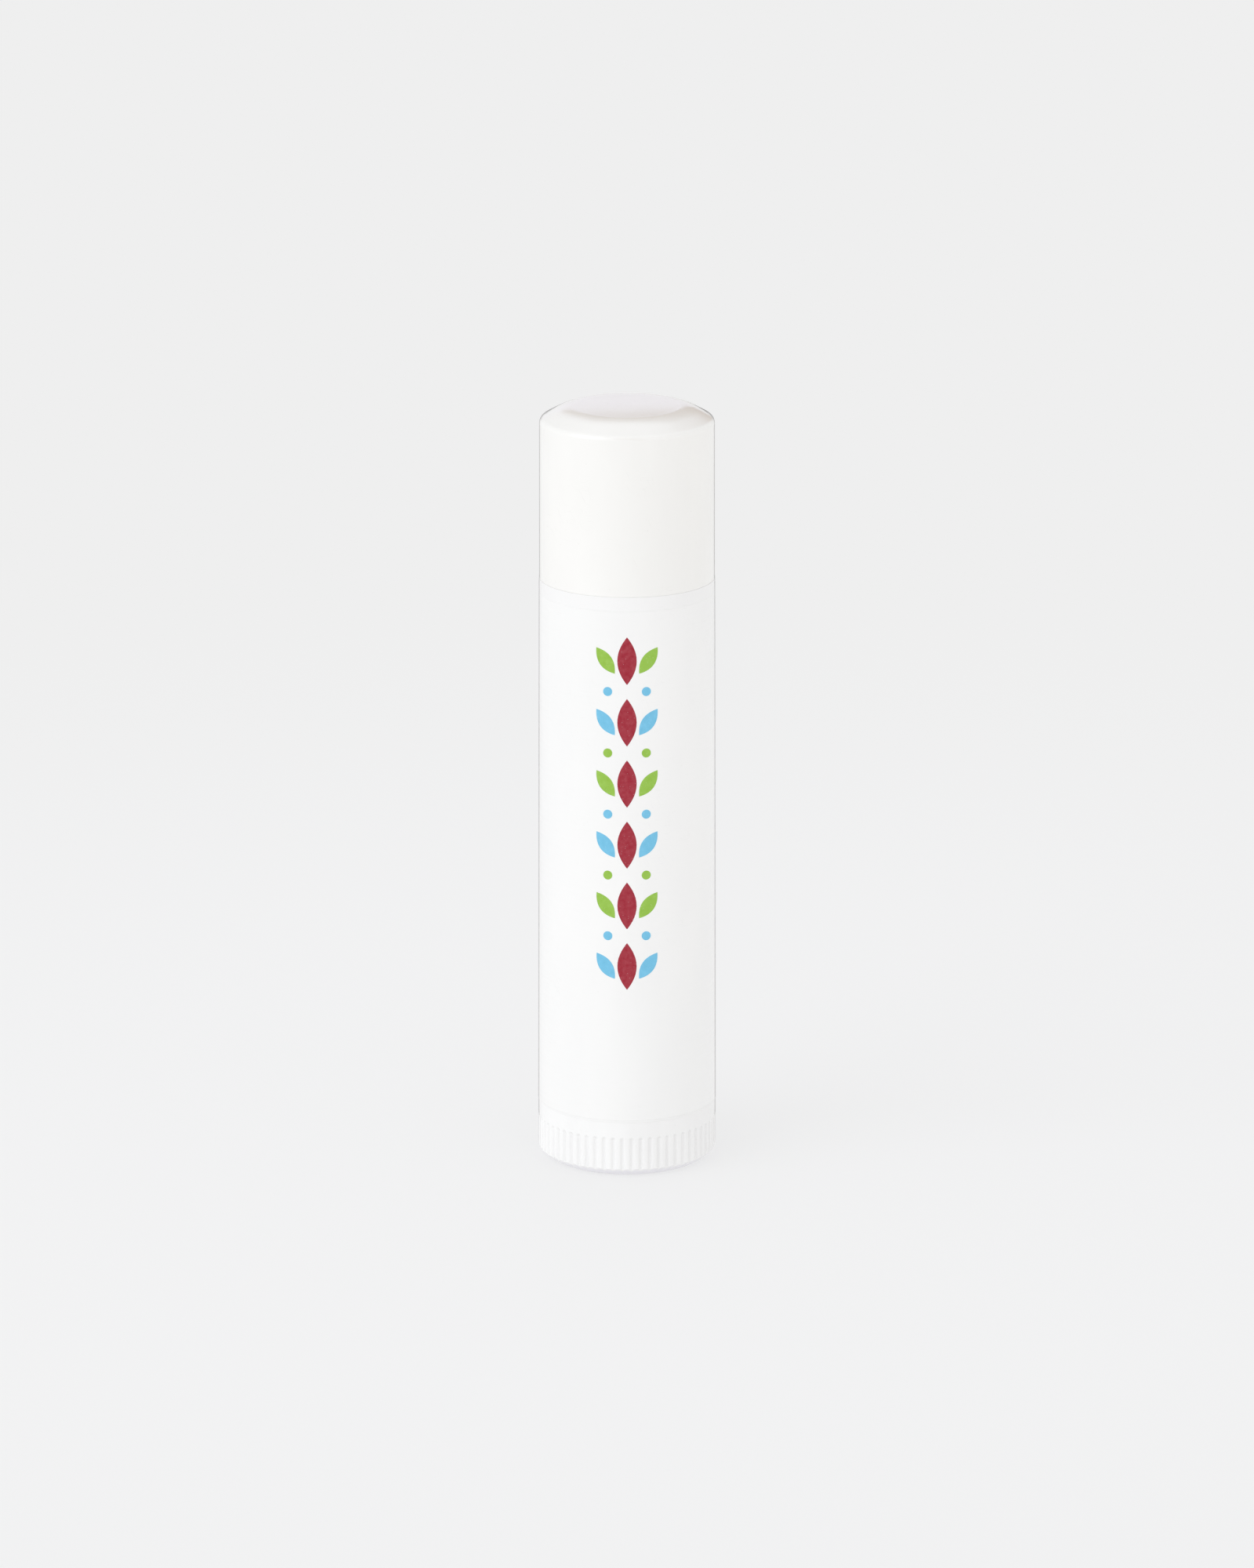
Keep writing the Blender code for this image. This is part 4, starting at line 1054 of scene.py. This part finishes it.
class BALM_OT_dial(bpy.types.Operator):
    """Make the ribbed dial with its standing ring, pocket and centring ring"""
    bl_idname = "balm.dial"
    bl_label = "Make dial"

    def execute(self, context):
        dial = context.scene.balm_dial
        finish = context.scene.balm_finish
        shape = bmesh.new()
        # Hollow values: painted shade for the grooves and the downward foot slope
        shape.verts.layers.float.new("hollow")
        low_ring, high_ring = dial_skin(shape, dial)
        ring_outer = dial.radius - dial.slope_width
        ring_inner = ring_outer - dial.ring_width
        underside = [
            (ring_outer - dial.ring_width / 2.0, 0.0),
            (ring_inner, 0.0),
            (ring_inner - dial.recess, dial.recess),
            (dial.wall_inner / 2.0, dial.recess),
        ]
        pocket_floor = dial.recess + dial.floor
        spigot_top = dial.height + dial.spigot_rise
        spigot_inner = dial.spigot_radius - dial.spigot_wall
        inside = [
            ((dial.wall_inner + dial.radius) / 2.0, dial.height),
            (dial.wall_inner, dial.height),
            (dial.wall_inner, pocket_floor),
            (dial.spigot_radius, pocket_floor),
            (dial.spigot_radius, spigot_top - dial.spigot_chamfer),
            (dial.spigot_radius - dial.spigot_chamfer, spigot_top),
            (spigot_inner, spigot_top),
            (spigot_inner, pocket_floor),
            (spigot_inner / 2.0, pocket_floor),
        ]
        for outline, skin_ring in ((underside, low_ring), (inside, high_ring)):
            first, last = plain_rings(shape, held(outline), 2 * dial.rib_count)
            join_rings(shape, skin_ring, first)
            shape.faces.new(last)
        # The dial's painted shade greys its grooves and its foot slope
        plastic = white_plastic(
            "dial_white", finish.dial_colour, finish.barrel_shade, finish, cloud_scale=180.0, scuffing=0.6,
            painted_hollow_shade=finish.dial_painted_shade)
        add_piece("ribbed_dial", shape, plastic, "dial", "dial_plastic", "dial_screw")
        return {"FINISHED"}


class BALM_OT_spindle(bpy.types.Operator):
    """Make the dial's threaded spindle with its stem, snap barb and tapered tip"""
    bl_idname = "balm.spindle"
    bl_label = "Make spindle"

    def execute(self, context):
        spindle = context.scene.balm_spindle
        dial = context.scene.balm_dial
        finish = context.scene.balm_finish
        foot = dial.recess + dial.floor
        sunk = foot - spindle.stem_fillet
        stem = spindle.stem_radius
        crest = spindle.thread_diameter / 2.0
        barb = stem + spindle.barb_lip
        barb_top = spindle.barb_foot + spindle.barb_land
        cone_top = barb_top + spindle.barb_cone
        outline = [(0.0, sunk), (stem + spindle.stem_fillet, sunk)]
        outline += rounding(
            stem + spindle.stem_fillet, foot + spindle.stem_fillet, spindle.stem_fillet, -QUARTER_TURN,
            -math.pi)
        outline += [
            (stem, spindle.barb_foot),
            (barb, spindle.barb_foot),
            (barb, barb_top),
            ((stem + crest) / 2.0, cone_top),
            (0.0, cone_top),
        ]
        turns = math.ceil((spindle.tip_height - foot) / spindle.thread_lead)
        shape = combined(turned(held(outline), ROD_STEPS), thread_form(spindle, foot, turns), "UNION")
        reach = crest + OVERRUN
        slope = spindle.tip_chamfer / (crest - spindle.tip_radius)
        waist = spindle.tip_height - slope * (reach - spindle.tip_radius)
        top = spindle.tip_height + 2.0 * spindle.thread_lead
        cutter = [
            (0.0, spindle.tip_height), (spindle.tip_radius, spindle.tip_height), (reach, waist),
            (reach + OVERRUN, waist), (reach + OVERRUN, top), (0.0, top),
        ]
        shape = combined(shape, turned(cutter, ROD_STEPS), "DIFFERENCE")
        plastic = white_plastic(
            "spindle_white", finish.dial_colour, finish.barrel_shade, finish, cloud_scale=220.0, scuffing=0.2)
        add_piece("threaded_spindle", shape, plastic, "dial", "dial_plastic", "dial_screw")
        return {"FINISHED"}


class BALM_OT_carrier(bpy.types.Operator):
    """Give the carrier its finish; its shape is the frame's own"""
    bl_idname = "balm.carrier"
    bl_label = "Finish carrier"

    def execute(self, context):
        finish = context.scene.balm_finish
        plastic = white_plastic(
            "carrier_white", finish.carrier_colour, finish.carrier_shade, finish, cloud_scale=260.0,
            scuffing=0.2)
        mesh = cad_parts["carrier"].data
        mesh.materials.clear()
        mesh.materials.append(plastic)
        return {"FINISHED"}


class BALM_OT_stick(bpy.types.Operator):
    """Cast the stick of balm with its dome, its flutes and the spindle's bore"""
    bl_idname = "balm.stick"
    bl_label = "Cast balm"

    def execute(self, context):
        balm = context.scene.balm_stick
        finish = context.scene.balm_finish
        foot = balm.foot_height
        mouth = balm.top_height - balm.dome
        bore_top = foot + balm.bore_top
        outline = [
            (0.0, bore_top),
            (balm.tip_radius, bore_top),
            (balm.bore, bore_top - balm.bore_taper),
            (balm.bore, foot + balm.hub_depth),
            (balm.foot_inner, foot + balm.hub_depth),
            (balm.foot_inner, foot),
            (balm.foot_outer, foot),
            (balm.foot_outer, foot + balm.cup_depth),
            (balm.radius, foot + balm.cup_depth),
        ]
        outline += arc((0.0, mouth), (balm.radius, balm.dome), 0.0, QUARTER_TURN, 3 * CURVE_STEPS)
        shape = turned(held(outline))
        flutes = blocks(
            balm.flute_count, 0.0, balm.flute_inner, balm.radius + OVERRUN, balm.flute_width,
            foot - OVERRUN, foot + balm.flute_top)
        slots = blocks(
            balm.flute_count, FULL_TURN / balm.flute_count / 2.0, balm.foot_inner - OVERRUN / 2.0,
            balm.foot_outer + OVERRUN / 2.0, balm.slot_width, foot - OVERRUN, foot + balm.slot_height)
        for cutter in (flutes, slots):
            shape = combined(shape, cutter, "DIFFERENCE")
        wax = cast_balm("balm_cream", finish.balm_colour, finish.balm_bloom, finish.balm_roughness)
        add_piece("cast_balm", shape, wax, "carriage", "balm", "balm_stick")
        return {"FINISHED"}


class BALM_OT_studio(bpy.types.Operator):
    """Set the pale floor, the soft lamps and the camera"""
    bl_idname = "balm.studio"
    bl_label = "Set studio"

    def execute(self, context):
        studio = context.scene.balm_studio
        self.lay_floor(studio)
        self.stand_flag(studio)
        self.light_room(studio)
        aim = Vector((0.0, 0.0, studio.camera_aim))
        lamps = (
            ("left_softbox", studio.left_azimuth, studio.left_height, studio.left_power, studio.left_colour),
            ("right_softbox", studio.right_azimuth, studio.right_height, studio.right_power,
             studio.right_colour),
        )
        for name, azimuth, height, watts, tint in lamps:
            lamp = bpy.data.lights.new(name, "AREA")
            lamp.size = studio.lamp_size
            lamp.energy = watts
            lamp.color = tint
            place_facing(context, name, lamp, aim, pointing(azimuth, height) * studio.lamp_distance)
        camera = bpy.data.cameras.new("camera")
        camera.lens = studio.camera_lens
        camera.clip_start = studio.camera_distance / 100.0
        away = pointing(0.0, studio.camera_tilt) * studio.camera_distance
        context.scene.camera = place_facing(context, "camera", camera, aim, away)
        context.scene.view_settings.view_transform = "Standard"
        return {"FINISHED"}

    def lay_floor(self, studio):
        """A round pale floor that takes the tube's shadow and fades to an even tone."""
        shape = bmesh.new()
        bmesh.ops.create_circle(shape, cap_ends=True, radius=studio.floor_size, segments=BODY_STEPS)
        floor = new_object("floor", shape)
        material, tree, shader, place = new_material("floor_paper")
        tree.nodes.remove(shader)
        distance = tree.nodes.new("ShaderNodeVectorMath")
        distance.operation = "LENGTH"
        tree.links.new(place, distance.inputs[0])
        reach = studio.floor_reach
        near = eased(
            tree, distance.outputs["Value"], low=0.5 * reach, high=2.0 * reach, first=studio.floor_lit,
            last=0.0)
        paper = tree.nodes.new("ShaderNodeBsdfDiffuse")
        glow = tree.nodes.new("ShaderNodeEmission")
        for node in (paper, glow):
            node.inputs["Color"].default_value = (*studio.floor_colour, 1.0)
        even = maths(tree, "SUBTRACT", 1.0, near)
        missing = maths(tree, "SUBTRACT", 1.0, times(tree, near, studio.floor_level))
        tree.links.new(maths(tree, "DIVIDE", missing, even), glow.inputs["Strength"])
        mix_shaders(tree, even, paper, glow, "Material Output")
        floor.data.materials.append(material)

    def stand_flag(self, studio):
        """A grey card behind the tube, which only gloss sees: it draws the edge of white on white."""
        shape = bmesh.new()
        layer = shape.verts.layers.float.new("pale")
        fade, spread = studio.flag_fade, studio.flag_spread
        rows = []
        for height, radius in (
                (0.0, studio.flag_radius), (studio.flag_height, studio.flag_radius - studio.flag_taper)):
            row = []
            for step in range(BODY_STEPS + 1):
                turn = spread * (2.0 * step / BODY_STEPS - 1.0)
                point = shape.verts.new(round_axis(radius, QUARTER_TURN + turn, height))
                point[layer] = max(0.0, abs(turn) - fade) / (spread - fade)
                row.append(point)
            rows.append(row)
        for step in range(BODY_STEPS):
            shape.faces.new((rows[0][step], rows[0][step + 1], rows[1][step + 1], rows[1][step]))
        card = new_object("grey_card", shape)
        material, tree, shader, _ = new_material("card_grey")
        shader.inputs["Base Color"].default_value = (0.0, 0.0, 0.0, 1.0)
        shader.inputs["Specular IOR Level"].default_value = 0.0
        shader.inputs["Emission Strength"].default_value = 1.0
        tone = blended(tree, stored(tree, "pale"), (studio.flag_level,) * 3, studio.floor_colour)
        tree.links.new(tone, shader.inputs["Emission Color"])
        card.data.materials.append(material)
        card.visible_camera = False
        card.visible_diffuse = False
        card.visible_shadow = False
        card.visible_transmission = False

    def light_room(self, studio):
        """A pale room. The camera sees it in the floor's tone, and gloss sees a dull patch and a ceiling."""
        world = bpy.data.worlds.new("room")
        world.use_nodes = True
        tree = world.node_tree
        parts = tree.nodes.new("ShaderNodeSeparateXYZ")
        tree.links.new(tree.nodes.new("ShaderNodeTexCoord").outputs["Generated"], parts.inputs[0])
        across, up = parts.outputs["X"], parts.outputs["Z"]
        low = maths(tree, "SUBTRACT", 1.0, up, clamp=True)
        walls = times(tree, maths(tree, "POWER", low, 2.0), studio.horizon_level)
        sky = tree.nodes["Background"]
        sky.inputs["Color"].default_value = (*studio.sky_colour, 1.0)
        tree.links.new(maths(tree, "ADD", walls, studio.sky_level), sky.inputs["Strength"])
        seen_sky = tree.nodes.new("ShaderNodeBackground")
        seen = tree.nodes.new("ShaderNodeLightPath")
        behind = times(
            tree, eased(tree, across, *PATCH_LEFT), eased(tree, across, *PATCH_RIGHT, first=1.0, last=0.0))
        haze = times(tree, eased(tree, up, *HAZE_RISE), behind)
        lower_right = maths(tree, "ADD", up, maths(tree, "MAXIMUM", across, 0.0))
        patch = times(tree, eased(tree, lower_right, *PATCH_RISE), behind)
        tone = blended(tree, haze, studio.floor_colour, studio.haze_colour)
        tone = blended(tree, patch, tone, studio.patch_colour)
        tone = blended(tree, eased(tree, up, *CEILING_RISE), tone, (studio.ceiling_level,) * 3)
        tone = blended(tree, seen.outputs["Is Glossy Ray"], studio.floor_colour, tone)
        tree.links.new(tone, seen_sky.inputs["Color"])
        direct = maths(tree, "MAXIMUM", seen.outputs["Is Camera Ray"], seen.outputs["Is Glossy Ray"])
        direct = maths(tree, "MAXIMUM", direct, seen.outputs["Is Transmission Ray"])
        mix_shaders(tree, direct, sky, seen_sky, "World Output")
        bpy.context.scene.world = world


def pointing(azimuth, elevation):
    """The direction from the tube to a place round it: azimuth 0 is in front and positive is right."""
    flat = math.cos(elevation)
    return Vector((math.sin(azimuth) * flat, -math.cos(azimuth) * flat, math.sin(elevation)))


def place_facing(context, name, kind, aim, offset):
    """An object for a lamp or camera, at an offset from its aim and turned to face it."""
    thing = bpy.data.objects.new(name, kind)
    thing.location = aim + offset
    thing.rotation_euler = (-offset).to_track_quat("-Z", "Y").to_euler()
    context.collection.objects.link(thing)
    return thing


SETTINGS = {
    "balm_cap": CapSettings,
    "balm_barrel": BarrelSettings,
    "balm_film": FilmSettings,
    "balm_dial": DialSettings,
    "balm_spindle": SpindleSettings,
    "balm_stick": BalmSettings,
    "balm_finish": FinishSettings,
    "balm_studio": StudioSettings,
}
OPERATORS = (
    BALM_OT_cap, BALM_OT_barrel, BALM_OT_film, BALM_OT_dial, BALM_OT_spindle, BALM_OT_carrier,
    BALM_OT_stick, BALM_OT_studio,
)


class BALM_PT_tube(bpy.types.Panel):
    """Lists the tube's operators and settings"""
    bl_label = "Lip balm stick"
    bl_space_type = "VIEW_3D"
    bl_region_type = "UI"
    bl_category = "Lip balm"

    def draw(self, context):
        for operator in OPERATORS:
            self.layout.operator(operator.bl_idname)
        for name, group in SETTINGS.items():
            box = self.layout.box()
            box.label(text=group.__doc__.rstrip("."))
            for setting in group.__annotations__:
                box.prop(getattr(context.scene, name), setting)


def register():
    for item in (*SETTINGS.values(), *OPERATORS, BALM_PT_tube):
        bpy.utils.register_class(item)
    for name, group in SETTINGS.items():
        setattr(bpy.types.Scene, name, bpy.props.PointerProperty(type=group))


def unregister():
    for name in SETTINGS:
        delattr(bpy.types.Scene, name)
    for item in (BALM_PT_tube, *OPERATORS, *SETTINGS.values()):
        bpy.utils.unregister_class(item)


def main():
    """Registers the add-on and makes every piece."""
    register()
    bpy.ops.balm.cap()
    bpy.ops.balm.barrel()
    bpy.ops.balm.film()
    bpy.ops.balm.dial()
    bpy.ops.balm.spindle()
    bpy.ops.balm.carrier()
    bpy.ops.balm.stick()
    bpy.ops.balm.studio()


if __name__ == "__main__":
    main()
